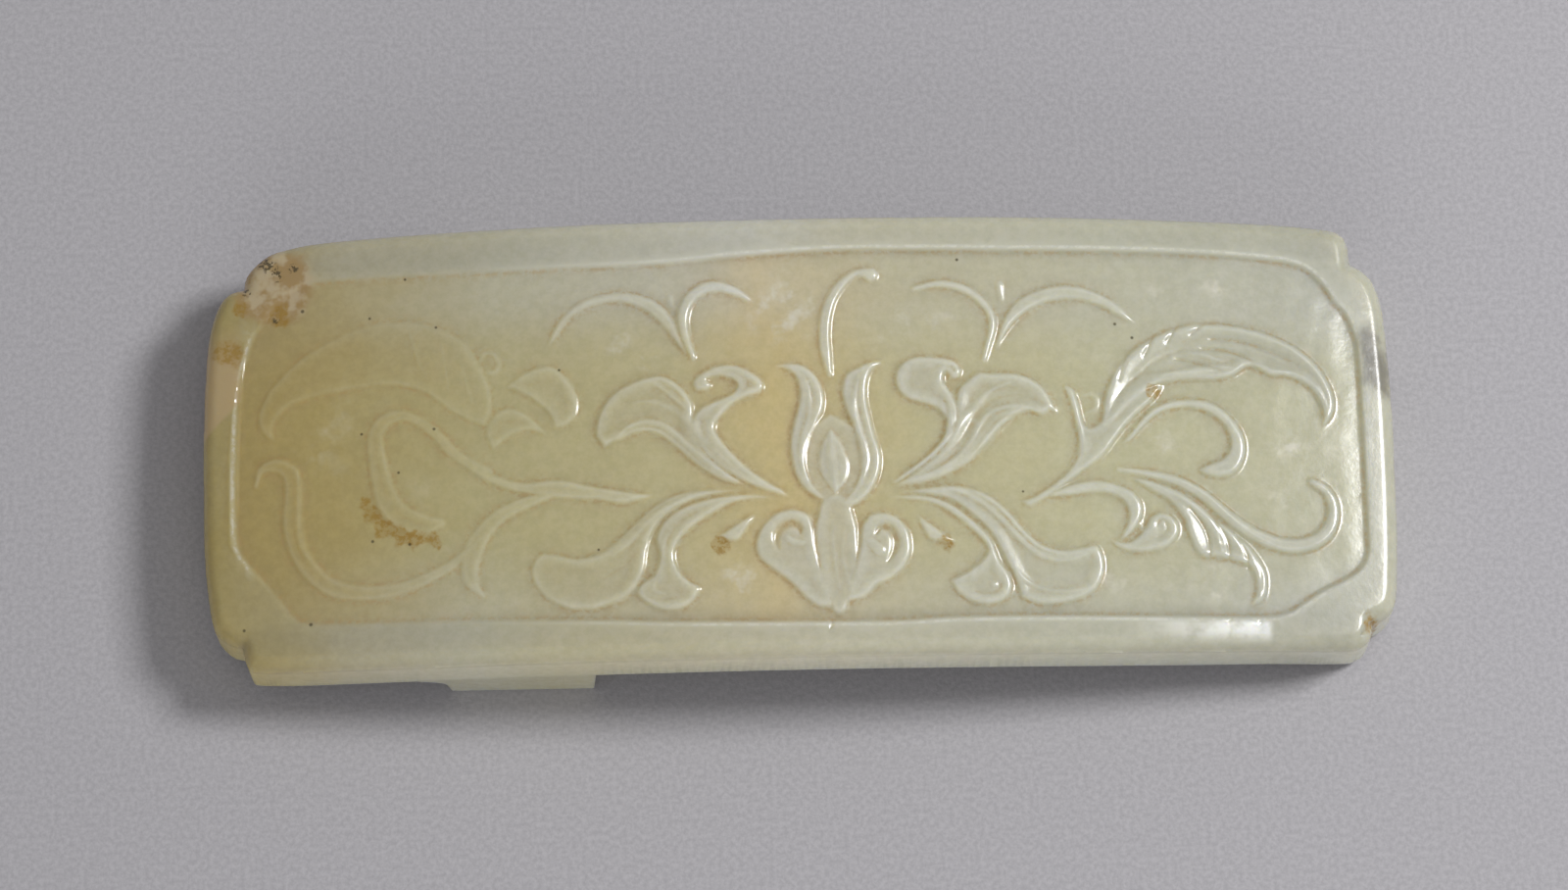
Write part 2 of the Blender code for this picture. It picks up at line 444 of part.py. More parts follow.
def left_scroll():
    return [
        petal([(-11.9, -5.2), (-15.0, -4.6), (-17.5, -4.1), (-20.0, -3.5), (-23.2, -3.6), (-26.0, -2.5),
               (-28.6, -0.6), (-30.6, 1.6)],
              [(-29.6, -0.6), (-27.6, -2.6), (-25.4, -4.0), (-22.6, -4.9), (-18.7, -5.5), (-16.8, -5.6),
               (-14.6, -6.0)], 0.66, 0.25),
        stem([(-19.6, -4.5), (-22.0, -5.2), (-24.8, -6.4), (-26.6, -8.2), (-27.4, -10.0), (-27.4, -12.0),
              (-26.4, -13.3)], [1.0, 1.3, 1.6, 2.0, 1.6, 0.5], 0.6, 0.3),
        stem([(-26.0, -2.8), (-28.5, -1.2), (-30.5, 1.0), (-32.5, 2.4), (-34.3, 2.3), (-35.3, 1.0),
              (-35.2, -1.0), (-34.8, -3.2), (-34.2, -5.0), (-32.9, -6.4), (-31.2, -7.0), (-30.0, -6.9)],
             [1.2, 1.2, 1.1, 1.5, 1.7, 2.0, 2.3, 2.3, 1.2], 0.65, 0.35),
        stem([(-26.6, -8.4), (-29.0, -10.5), (-32.5, -12.1), (-36.0, -12.6), (-39.3, -11.8),
              (-41.4, -9.5), (-42.3, -6.6), (-42.2, -3.6), (-42.6, -1.8), (-43.9, -1.2), (-45.0, -1.6),
              (-45.4, -2.9)], [0.9, 1.2, 1.6, 1.9, 2.0, 1.8, 1.3, 0.6], 0.66, 0.35),
        petal([(-26.0, 1.0), (-25.4, 2.8), (-25.9, 5.6), (-27.7, 8.7), (-30.8, 10.5), (-34.4, 10.9),
               (-38.0, 10.1), (-41.6, 8.2), (-44.2, 5.7), (-45.4, 3.2), (-44.9, 1.5), (-43.8, 0.8)],
              [(-43.7, 2.4), (-42.4, 3.8), (-40.0, 4.5), (-37.0, 4.9), (-34.0, 5.1), (-31.2, 4.3),
               (-28.8, 2.4)], 0.5, 0.4),
        stem([(-26.6, 6.9), (-26.1, 7.6), (-25.3, 7.5), (-24.9, 6.6), (-25.3, 5.9), (-25.9, 6.0)],
             [0.5, 0.6, 0.7], 0.5),
        petal([(-24.6, 4.6), (-22.6, 6.0), (-20.6, 6.4), (-19.3, 5.4), (-18.5, 4.2), (-18.2, 3.0),
               (-18.4, 1.8), (-19.2, 1.0), (-20.4, 0.7)], [(-21.0, 2.2), (-22.6, 3.6)], 0.56, 0.5),
        petal([(-25.5, -1.0), (-26.2, 0.4), (-26.0, 1.6), (-25.2, 2.5), (-24.2, 2.9), (-22.8, 2.4),
               (-21.5, 1.2), (-20.7, 0.0)], [(-22.0, 0.6), (-23.6, 0.4)], 0.5, 0.5),
    ]


def carving():
    return (
        lotus() + curled_petals() + striated_petals() + forked_sprouts()
        + base_spirals() + lower_leaves() + right_scroll() + left_scroll()
    )


# The arched body

def underside_height(x):
    """The underside rises to the middle, and the left end stands clear of the ground."""
    return LEFT_END_LIFT * (0.5 - x / PLAQUE_LENGTH) + ARCH_RISE * (1 - (2 * x / PLAQUE_LENGTH) ** 2)


def top_height(x, y):
    """The arched face with its rounded arris, sunk panel and carving, worn toward the left end."""
    height = underside_height(x) + EDGE_THICKNESS + CROSS_CROWN * (1 - (2 * y / PLAQUE_WIDTH) ** 2)
    from_arris = np.clip(depth_inside(plaque_ring(), x, y), 0, ARRIS_ROUND)
    height -= ARRIS_ROUND - np.sqrt(ARRIS_ROUND ** 2 - (ARRIS_ROUND - from_arris) ** 2)
    into_panel = np.clip(depth_inside(panel_ring(), x, y) / BORDER_BEVEL, 0, 1)
    panel_length = PLAQUE_LENGTH - 2 * END_BORDER
    panel_width = PLAQUE_WIDTH - FRONT_BORDER - BACK_BORDER
    drawn_x = x * DRAWN_LENGTH / panel_length
    drawn_y = y * DRAWN_WIDTH / panel_width
    raised = CARVING_HEIGHT * carved_height(carving(), drawn_x, drawn_y)
    worn = np.interp(x, [WORN_TO, CRISP_FROM], [WORN_SHARE, 1.0])
    return height - (PANEL_DEPTH - raised) * worn * into_panel


def carved_block():
    """A block somewhat larger than the plaque, with the carved face as its top."""
    length = PLAQUE_LENGTH + 2 * SPARE
    width = PLAQUE_WIDTH + 2 * SPARE
    bm = bmesh.new()
    columns = round(length / SURFACE_STEP)
    rows = round(width / SURFACE_STEP)
    bmesh.ops.create_grid(bm, x_segments=columns, y_segments=rows, size=0.5)
    x = np.array([v.co.x for v in bm.verts]) * length
    y = np.array([v.co.y for v in bm.verts]) * width
    for vert, place in zip(bm.verts, np.stack([x, y, top_height(x, y)], axis=1)):
        vert.co = place
    edge = [e for e in bm.edges if e.is_boundary]
    skirt = bmesh.ops.extrude_edge_only(bm, edges=edge)["geom"]
    lower = [g for g in skirt if isinstance(g, bmesh.types.BMVert)]
    for vert in lower:
        vert.co.z = -SPARE
    bmesh.ops.holes_fill(bm, edges=[e for e in bm.edges if e.is_boundary], sides=0)
    bmesh.ops.recalc_face_normals(bm, faces=bm.faces)
    return new_object("jade_plaque", bm)


def new_object(name, bm):
    mesh = bpy.data.meshes.new(name)
    bm.to_mesh(mesh)
    bm.free()
    thing = bpy.data.objects.new(name, mesh)
    bpy.context.scene.collection.objects.link(thing)
    return thing


def prism(name, points, along, reach):
    """A closed prism: the outline's points, run along Y or Z from one end of its reach to the other."""
    bm = bmesh.new()
    if along == "Z":
        verts = [bm.verts.new((a, b, reach[0])) for a, b in points]
        push = (0, 0, reach[1] - reach[0])
    else:
        verts = [bm.verts.new((a, reach[0], b)) for a, b in points]
        push = (0, reach[1] - reach[0], 0)
    face = bm.faces.new(verts)
    pushed = bmesh.ops.extrude_face_region(bm, geom=[face])["geom"]
    bmesh.ops.translate(bm, vec=push, verts=[g for g in pushed if isinstance(g, bmesh.types.BMVert)])
    bmesh.ops.recalc_face_normals(bm, faces=bm.faces)
    cutter = new_object(name, bm)
    cutter.hide_render = True
    cutter.display_type = "WIRE"
    return cutter


def outline_prism():
    tallest = LEFT_END_LIFT + ARCH_RISE + EDGE_THICKNESS + CROSS_CROWN + SPARE
    return prism("plaque_outline", plaque_ring(), "Z", (0.0, tallest))


def underside_arch(start, end):
    return [
        (x, underside_height(x))
        for x in (start + (end - start) * i / ARCH_STEPS for i in range(ARCH_STEPS + 1))
    ]


def left_hollow():
    """The space under the left end, which sweeps down to the foot of the loop."""
    spring = LOOP_LEFT - LOOP_SWEEP
    drop = underside_height(spring) - LOOP_BAR
    points = [(-PLAQUE_LENGTH / 2 - SPARE, -SPARE)]
    points += underside_arch(-PLAQUE_LENGTH / 2 - SPARE, spring)
    for i in range(1, LOBE_STEPS + 1):
        turn = i / LOBE_STEPS * math.pi / 2
        points.append((spring + LOOP_SWEEP * math.sin(turn), LOOP_BAR + drop * math.cos(turn)))
    points.append((LOOP_LEFT, -SPARE))
    return prism("left_hollow", points, "Y", (-PLAQUE_WIDTH, PLAQUE_WIDTH))


def right_hollow():
    """The space under the middle and right of the plaque, up to the strip it rests on."""
    far = PLAQUE_LENGTH / 2 - REST_STRIP
    points = [(LOOP_RIGHT, -SPARE)] + underside_arch(LOOP_RIGHT, far) + [(far, -SPARE)]
    return prism("right_hollow", points, "Y", (-PLAQUE_WIDTH, PLAQUE_WIDTH))


def ramp(start, end):
    """An eased slope from one point to another, without its first point."""
    points = []
    for i in range(1, RAMP_STEPS + 1):
        share = i / RAMP_STEPS
        eased = (1 - math.cos(share * math.pi)) / 2
        points.append((start[0] + (end[0] - start[0]) * share, start[1] + (end[1] - start[1]) * eased))
    return points


def belt_slot():
    """The way for the belt: level over the loop's bar, easing out to the underside on both sides."""
    ceiling = LOOP_BAR + SLOT_HEIGHT
    level_left = LOOP_LEFT - SLOT_PAST_LOOP
    level_right = LOOP_RIGHT + SLOT_PAST_LOOP
    far_left = level_left - SLOT_RUN_OUT
    far_right = level_right + SLOT_RUN_OUT
    left = (far_left, underside_height(far_left) - SLOT_CORNER)
    right = (far_right, underside_height(far_right) - SLOT_CORNER)
    points = [(far_left, -SPARE), left]
    points += ramp(left, (level_left, ceiling))
    points += [(level_right, ceiling)]
    points += ramp((level_right, ceiling), right)
    points += [(far_right, -SPARE), (LOOP_RIGHT, -SPARE), (LOOP_RIGHT, LOOP_BAR)]
    points += [(LOOP_LEFT, LOOP_BAR), (LOOP_LEFT, -SPARE)]
    cutter = prism("belt_slot", points, "Y", (-SLOT_WIDTH / 2, SLOT_WIDTH / 2))
    soften = cutter.modifiers.new("soften", "BEVEL")
    soften.width = SLOT_CORNER
    soften.segments = 2
    soften.limit_method = "ANGLE"
    soften.angle_limit = math.radians(60)
    return cutter


def trim(block, cutter, operation):
    boolean = block.modifiers.new(cutter.name, "BOOLEAN")
    boolean.object = cutter
    boolean.operation = operation
    boolean.solver = "EXACT"


def jade():
    material = bpy.data.materials.new("jade")
    material.use_nodes = True
    shader = material.node_tree.nodes["Principled BSDF"]
    shader.inputs["Base Color"].default_value = (0.42, 0.40, 0.25, 1.0)
    shader.inputs["Roughness"].default_value = 0.25
    shader.inputs["Metallic"].default_value = 0.0
    return material


clear_scene()
plaque = carved_block()
simplify = plaque.modifiers.new("simplify", "DECIMATE")
simplify.ratio = SURFACE_KEPT
trim(plaque, outline_prism(), "INTERSECT")
trim(plaque, left_hollow(), "DIFFERENCE")
trim(plaque, right_hollow(), "DIFFERENCE")
trim(plaque, belt_slot(), "DIFFERENCE")
plaque.data.shade_smooth()
plaque.data.set_sharp_from_angle(angle=math.radians(40))
plaque.data.materials.append(jade())
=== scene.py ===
# A jade belt buckle carved with a lotus scroll, lying face up on grey paper.
# Shapes are worked out in millimetres from the plaque's middle and stored in metres.

import math

import bmesh
import bpy
import numpy as np
from mathutils import Matrix, Vector


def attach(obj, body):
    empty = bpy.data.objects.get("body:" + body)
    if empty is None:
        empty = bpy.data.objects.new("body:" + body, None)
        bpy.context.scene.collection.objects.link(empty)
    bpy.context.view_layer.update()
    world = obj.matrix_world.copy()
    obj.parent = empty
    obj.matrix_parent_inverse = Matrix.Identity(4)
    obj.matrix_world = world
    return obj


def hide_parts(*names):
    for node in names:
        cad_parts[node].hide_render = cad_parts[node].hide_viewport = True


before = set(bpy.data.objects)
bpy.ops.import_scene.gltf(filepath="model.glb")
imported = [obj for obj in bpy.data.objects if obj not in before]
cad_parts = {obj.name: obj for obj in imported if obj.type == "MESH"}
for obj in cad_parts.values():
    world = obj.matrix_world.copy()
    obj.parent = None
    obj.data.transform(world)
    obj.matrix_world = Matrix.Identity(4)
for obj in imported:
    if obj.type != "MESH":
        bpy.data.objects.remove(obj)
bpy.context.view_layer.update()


# The block
# One oblong of jade, sawn and ground to a gentle arch, with corners indented in two lobes.
# Each side and corner was ground by hand, so each is followed on its own.

MM = 0.001
HALF_WIDTH = 19.05
HALF_LENGTH = 50.0
EDGE_THICKNESS = 6.0
CROSS_CROWN = 0.5
ARCH_RISE = 4.3
LEFT_END_LIFT = 1.2
DRAWN_STEP = 0.6

BACK_SIDE = [
    (-46.6, 14.7), (-46.3, 16.0), (-44.9, 17.4), (-43.0, 18.1), (-38.0, 18.6), (-20.0, 18.95), (0.0, 19.0),
    (20.0, 18.95), (38.0, 18.6), (44.0, 18.3), (46.1, 17.9), (46.8, 17.0), (47.0, 15.1),
]
RIGHT_END = [
    (47.0, 15.1), (47.9, 14.6), (48.8, 13.7), (49.4, 12.0), (49.7, 9.5), (49.95, 3.0), (49.95, -3.0),
    (49.85, -9.0), (49.6, -13.3), (49.2, -15.0), (48.3, -15.9), (47.4, -16.3),
]
FRONT_SIDE = [
    (47.4, -16.3), (47.2, -17.4), (46.3, -18.3), (44.5, -18.6), (38.0, -18.7), (20.0, -18.95), (0.0, -19.0),
    (-20.0, -18.95), (-38.0, -18.8), (-45.0, -18.6), (-46.2, -18.0), (-46.6, -16.4),
]
LEFT_END = [
    (-46.6, -16.4), (-47.6, -16.1), (-48.5, -15.4), (-49.2, -14.0), (-49.8, -9.0), (-49.95, -3.0),
    (-49.95, 3.0), (-49.7, 9.0), (-49.3, 11.7), (-48.6, 13.6), (-47.7, 14.5), (-46.6, 14.7),
]


def smooth_line(points, *widths):
    """A smooth curve through the drawn points, with the widths spread evenly along it."""
    drawn = np.array(points, dtype=float)
    ahead = 2 * drawn[-1] - drawn[-2]
    behind = 2 * drawn[0] - drawn[1]
    guide = np.vstack([behind, drawn, ahead])
    line = []
    places = []
    for i in range(len(drawn) - 1):
        before, start, end, after = guide[i:i + 4]
        steps = max(2, math.ceil(np.hypot(*(end - start)) / DRAWN_STEP))
        for step in range(steps):
            t = step / steps
            bend = 2 * before - 5 * start + 4 * end - after
            turn = 3 * start - before - 3 * end + after
            line.append(start + 0.5 * t * (end - before + t * (bend + t * turn)))
            places.append(i + t)
    line.append(drawn[-1])
    places.append(len(drawn) - 1.0)
    spread = [np.interp(places, np.linspace(0, len(drawn) - 1, len(w)), w) for w in widths]
    return np.array(line), spread


def closed_outline(*sides):
    """The sides one after another, each smooth, meeting in a notch or a corner."""
    return [tuple(point) for side in sides for point in smooth_line(side)[0][:-1]]


def depth_inside(ring, x, y):
    """How far each point lies inside a closed outline; outside it counts below nothing."""
    nearest = np.full(x.shape, np.inf)
    inside = np.zeros(x.shape, dtype=bool)
    for (ax, ay), (bx, by) in zip(ring, ring[1:] + ring[:1]):
        run_x = bx - ax
        run_y = by - ay
        share = np.clip(((x - ax) * run_x + (y - ay) * run_y) / (run_x ** 2 + run_y ** 2), 0, 1)
        nearest = np.minimum(nearest, np.hypot(x - ax - share * run_x, y - ay - share * run_y))
        if ay != by:
            crosses = (ay > y) != (by > y)
            inside ^= crosses & (x < ax + run_x * (y - ay) / run_y)
    return np.where(inside, nearest, -nearest)


def rounded(depth, radius):
    """How far a rounded edge lies below its flat, at some depth inside the edge."""
    into = np.clip(depth, 0, radius)
    return radius - np.sqrt(radius ** 2 - (radius - into) ** 2)


def underside_height(x):
    """The underside rises to the middle, and the left end stands clear of the ground."""
    return LEFT_END_LIFT * (0.5 - x / (2 * HALF_LENGTH)) + ARCH_RISE * (1 - (x / HALF_LENGTH) ** 2)


plaque_edge = closed_outline(LEFT_END, BACK_SIDE, RIGHT_END, FRONT_SIDE)


# The carving
# A lotus on a scroll, left standing when the ground around it was ground away, then hollowed
# and veined with small wheels. A petal's outline runs from its root to its tip and back.

EDGE_RISE = 0.38
LIP_WIDTH = 0.3
HOLLOW_RUN = 1.2


def petal(to_tip, back, height, dish=0.35):
    """A petal or leaf: raised as a whole, with a lip along its edge and a hollowed face."""
    ring = closed_outline(to_tip, [to_tip[-1], *back, to_tip[0]])
    return {"form": "petal", "line": np.array(ring), "reach": 0.0, "height": height, "dish": dish}


def stem(points, widths, height, dish=0.1):
    """A flat-topped ribbon, as wide as the widths given from root to tip."""
    line, (width,) = smooth_line(points, widths)
    reach = max(widths) / 2
    return {"form": "stem", "line": line, "half": width / 2, "reach": reach, "height": height, "dish": dish}


def vein(points, height, width=0.5):
    """A fine ridge laid over whatever lies under it, or a groove cut into it."""
    line, (half,) = smooth_line(points, [0.1, width / 2, width / 2, 0.1])
    return {"form": "vein", "line": line, "half": half, "reach": width / 2, "height": height}


def beside(line, half, u, v):
    """How far each place is from a drawn line, and the line's half width nearest to it."""
    start = line[:-1]
    run = line[1:] - start
    across_u = u[:, None] - start[:, 0]
    across_v = v[:, None] - start[:, 1]
    share = (across_u * run[:, 0] + across_v * run[:, 1]) / (run ** 2).sum(axis=1)
    share = np.clip(share, 0, 1)
    away = np.hypot(across_u - share * run[:, 0], across_v - share * run[:, 1])
    nearest = away.argmin(axis=1)
    here = np.arange(len(u))
    return away[here, nearest], np.interp(nearest + share[here, nearest], np.arange(len(line)), half)


def eased(value):
    """0 up to 0 and 1 from 1 on, with a soft start and end between them."""
    value = np.clip(value, 0, 1)
    return value * value * (3 - 2 * value)


def stroke_height(stroke, u, v):
    """How far a petal, stem or vein stands up at each place near it."""
    if stroke["form"] == "petal":
        depth = depth_inside([tuple(point) for point in stroke["line"]], u, v)
    else:
        away, half = beside(stroke["line"], stroke["half"], u, v)
        if stroke["form"] == "vein":
            return stroke["height"] * (1 - np.clip(away / half, 0, 1) ** 2) ** 2
        depth = half - away
    hollow = stroke["dish"] * eased((depth - LIP_WIDTH) / HOLLOW_RUN)
    return stroke["height"] * (eased(depth / EDGE_RISE) - hollow)


def carved_height(strokes, u, v):
    """The highest petal or stem at each place on the panel, with the veins laid over it."""
    height = np.zeros(u.shape)
    for stroke in sorted(strokes, key=lambda stroke: stroke["form"] == "vein"):
        low = stroke["line"].min(axis=0) - stroke["reach"]
        high = stroke["line"].max(axis=0) + stroke["reach"]
        near = np.nonzero((u > low[0]) & (u < high[0]) & (v > low[1]) & (v < high[1]))[0]
        if len(near):
            own = stroke_height(stroke, u[near], v[near])
            if stroke["form"] == "vein":
                height[near] += own
            else:
                height[near] = np.maximum(height[near], own)
    return height


def lotus():
    return [
        petal([(2.9, -6.8), (0.8, -5.4), (-0.3, -3.4), (0.0, -1.0), (1.2, 0.6), (2.6, 1.6)],
              [(4.2, 0.7), (6.0, -0.8), (6.5, -2.8), (5.7, -5.2)], 0.42, 0.2),
        petal([(2.9, -6.7), (1.4, -5.9), (0.2, -5.0), (-0.5, -3.8), (-0.8, -2.5), (-0.9, -1.0),
               (-0.6, 0.6), (-0.2, 2.0), (0.0, 3.2), (-0.2, 4.4), (-0.8, 5.2), (-2.4, 5.8)],
              [(-0.4, 6.0), (0.5, 5.8), (1.4, 5.1), (2.0, 4.2), (2.3, 3.0), (2.2, 1.8), (1.7, 0.6),
               (1.0, -0.9), (0.7, -2.6), (1.1, -4.4)], 0.72),
        petal([(2.9, -6.7), (4.4, -6.7), (5.8, -5.6), (6.6, -4.2), (6.9, -2.8), (6.8, -1.6), (6.4, -0.3),
               (6.1, 1.2), (5.85, 2.6), (5.9, 4.0), (6.3, 5.1), (7.4, 6.1)],
              [(5.9, 5.95), (4.9, 5.5), (4.0, 5.0), (3.5, 3.6), (3.8, 1.9), (4.3, 0.4), (4.7, -1.2),
               (4.9, -2.8), (4.5, -4.6)], 0.72),
        petal([(2.9, -5.9), (1.6, -3.9), (1.4, -2.2), (1.9, -0.6), (2.6, 0.4)],
              [(3.4, -0.5), (4.0, -1.9), (4.3, -3.2), (3.9, -4.6)], 0.62, 0.0),
        vein([(2.7, 0.0), (2.7, -2.0), (2.8, -3.8), (2.9, -5.6)], 0.16, 1.0),
        vein([(0.5, 4.8), (0.9, 3.2), (0.9, 1.4), (0.3, -0.6), (0.1, -2.4), (0.6, -4.2)], 0.2, 0.55),
        vein([(5.5, 5.5), (4.8, 3.6), (4.6, 2.0), (4.9, 0.2), (5.4, -1.3), (5.6, -2.8), (5.0, -4.4)],
             0.22, 0.55),
        vein([(5.2, 5.0), (5.1, 3.2), (5.2, 1.4), (5.6, 0.0), (6.0, -1.6)], -0.1, 0.5),
        stem([(2.7, 4.9), (2.35, 7.0), (2.35, 9.2), (2.85, 11.3), (3.9, 12.9), (5.2, 13.8), (6.3, 13.6)],
             [0.7, 1.2, 1.2, 1.1, 1.0, 0.8, 1.5], 0.6, 0.0),
        vein([(2.6, 5.6), (2.3, 7.6), (2.4, 9.6), (2.9, 11.4), (3.9, 12.9)], -0.12, 0.35),
        vein([(2.9, 5.6), (2.65, 7.6), (2.7, 9.4), (3.2, 11.2), (4.1, 12.7), (5.2, 13.8)], 0.14, 0.4),
    ]


def curled_petals():
    return [
        petal([(-0.8, -5.8), (-1.4, -5.0), (-2.5, -4.3), (-4.2, -3.0), (-5.8, -1.3), (-6.7, 0.0),
               (-6.8, 0.7), (-6.2, 1.5), (-5.3, 2.4), (-4.0, 3.0), (-3.1, 3.3), (-2.7, 3.9), (-2.9, 4.5),
               (-3.5, 5.1), (-4.5, 5.7), (-5.5, 6.0), (-6.6, 5.95), (-7.6, 5.6), (-8.5, 5.0), (-8.9, 4.3),
               (-8.5, 3.6), (-7.5, 3.6)],
              [(-7.0, 4.2), (-7.4, 4.6), (-6.5, 4.8), (-5.5, 4.5), (-5.2, 4.0), (-5.7, 3.4), (-6.9, 2.9),
               (-8.2, 2.3), (-9.0, 1.2), (-8.9, -0.4), (-7.8, -2.1), (-6.0, -3.6), (-3.6, -4.9)], 0.72,
              0.6),
        vein([(-6.6, 3.1), (-7.6, 1.6), (-7.7, 0.0), (-6.6, -1.8), (-4.6, -3.8)], 0.12, 0.8),
        petal([(7.2, -4.8), (8.8, -3.5), (10.3, -2.4), (11.4, -1.3), (12.0, -0.2), (12.1, 0.8),
               (11.6, 1.6), (10.5, 2.1), (9.4, 2.4), (8.5, 3.0), (8.0, 4.0), (8.1, 5.1), (8.8, 5.95),
               (9.8, 6.4), (11.2, 6.4), (12.4, 6.25), (13.3, 5.9), (13.8, 5.1), (13.5, 4.4),
               (12.8, 4.3)],
              [(12.4, 4.8), (12.3, 4.1), (12.9, 3.2), (13.4, 2.0), (13.4, 0.6), (12.8, -0.9),
               (11.6, -2.2), (10.1, -3.4), (8.6, -4.4)], 0.74, 0.4),
        vein([(12.5, 5.4), (13.0, 5.3), (13.1, 4.9)], -0.3, 0.5),
        vein([(12.5, 2.6), (12.7, 1.6), (12.6, 0.4), (12.1, -1.0)], 0.18, 0.4),
        vein([(12.1, 2.8), (12.35, 1.6), (12.3, 0.4)], -0.16, 0.4),
    ]


def striated_petals():
    return [
        petal([(-4.4, -4.6), (-6.3, -3.0), (-7.9, -1.2), (-8.6, 0.8), (-8.7, 2.7), (-9.8, 4.3),
               (-11.2, 5.15), (-12.6, 5.1), (-14.0, 4.6), (-15.3, 3.9), (-16.3, 2.8), (-16.9, 1.4),
               (-17.0, 0.0), (-16.2, -1.1)],
              [(-15.5, -0.7), (-14.8, -0.5), (-13.5, 0.1), (-12.0, 0.0), (-10.8, -0.8), (-9.5, -2.0),
               (-8.0, -3.3), (-6.2, -4.3)], 0.66, 0.55),
        vein([(-15.0, -0.1), (-14.2, 0.7), (-12.8, 1.15), (-11.3, 0.85), (-10.2, 0.0), (-9.0, -1.2),
              (-7.5, -2.6), (-6.0, -3.7), (-4.8, -4.4)], 0.26, 0.6),
        vein([(-14.4, 0.3), (-12.9, 0.7), (-11.5, 0.4), (-10.3, -0.5), (-9.0, -1.8), (-7.6, -3.1)],
             -0.16, 0.35),
        vein([(-12.4, 4.7), (-11.2, 3.9), (-10.2, 3.0), (-9.4, 2.2)], 0.2, 0.5),
        vein([(-11.7, 4.75), (-10.4, 3.9), (-9.5, 2.9)], -0.14, 0.35),
        vein([(-13.6, 2.9), (-12.0, 2.8), (-10.4, 2.1), (-8.8, 0.6), (-7.4, -1.1), (-5.6, -3.0)], 0.16,
             0.9),
        petal([(7.6, -4.9), (9.6, -3.5), (11.7, -1.7), (12.9, 0.3), (13.0, 2.2), (13.3, 3.5), (14.2, 4.4),
               (15.1, 5.0), (16.4, 4.9), (17.8, 4.95), (19.2, 4.6), (20.4, 3.8), (21.2, 2.6),
               (21.8, 1.1)],
              [(21.0, 1.5), (20.4, 1.0), (19.3, 1.4), (18.0, 0.9), (16.9, 0.0), (15.8, -1.2),
               (14.8, -2.3), (13.8, -3.2), (12.2, -4.1), (10.0, -4.8)], 0.66, 0.55),
        vein([(20.1, 1.4), (18.8, 1.85), (17.4, 1.9), (16.0, 1.4), (15.0, 0.3), (14.3, -1.0),
              (13.3, -2.3), (12.2, -3.2), (10.8, -3.9), (9.2, -4.4)], 0.26, 0.65),
        vein([(18.3, 1.2), (16.9, 0.9), (15.8, -0.1), (14.9, -1.4), (13.9, -2.6), (12.6, -3.5)], -0.18,
             0.45),
        vein([(17.9, 0.8), (16.8, -0.1), (15.8, -1.1), (14.9, -2.1), (13.9, -3.0)], 0.16, 0.45),
        vein([(17.8, 4.0), (16.2, 3.4), (14.9, 2.2), (13.8, 0.8), (12.6, -0.7), (11.0, -2.3),
              (9.4, -3.6)], 0.2, 0.9),
        vein([(18.6, 3.0), (16.8, 2.7), (15.2, 1.6), (14.2, 0.2), (13.2, -1.2), (11.8, -2.6)], -0.1, 0.7),
    ]


def forked_sprouts():
    return [
        petal([(-8.7, 6.3), (-9.4, 8.0), (-10.2, 10.0), (-11.3, 11.4), (-12.9, 12.3), (-14.8, 12.6),
               (-16.8, 12.4), (-18.4, 11.7), (-19.7, 10.6), (-20.5, 9.3), (-21.0, 7.8)],
              [(-20.0, 8.6), (-18.9, 10.2), (-17.3, 11.2), (-15.4, 11.6), (-13.7, 11.3), (-12.2, 10.4),
               (-10.9, 8.9), (-9.8, 7.4)], 0.62, 0.3),
        petal([(-8.8, 6.1), (-9.7, 8.0), (-10.1, 9.4), (-10.1, 10.6), (-9.5, 12.0), (-8.5, 12.9),
               (-7.5, 13.35), (-6.3, 13.35), (-5.2, 12.95), (-4.2, 12.3), (-3.4, 11.2)],
              [(-4.7, 11.6), (-5.7, 12.0), (-6.8, 12.2), (-7.8, 11.9), (-8.6, 11.0), (-8.9, 9.8),
               (-8.7, 8.2), (-8.3, 6.6)], 0.72, 0.1),
        stem([(-10.5, 12.0), (-10.4, 11.3)], [0.6, 0.5], 0.4),
        stem([(15.6, 6.0), (16.0, 7.4), (16.4, 8.8), (16.3, 10.0), (15.6, 11.1), (14.4, 12.1),
              (13.1, 12.6), (11.6, 12.7), (9.9, 12.3)], [0.6, 0.8, 0.9, 0.9, 0.9, 0.9, 0.6], 0.66),
        petal([(16.4, 6.2), (16.8, 8.2), (17.4, 9.9), (18.4, 11.2), (19.9, 12.1), (21.8, 12.6),
               (24.0, 12.5), (26.0, 11.7), (27.5, 10.6), (28.6, 9.1)],
              [(27.0, 9.8), (25.4, 10.7), (23.5, 11.2), (21.5, 11.1), (19.8, 10.4), (18.4, 9.3),
               (17.3, 7.8)], 0.6, 0.25),
        stem([(17.1, 12.7), (17.25, 11.2)], [0.8, 0.4], 0.4),
    ]


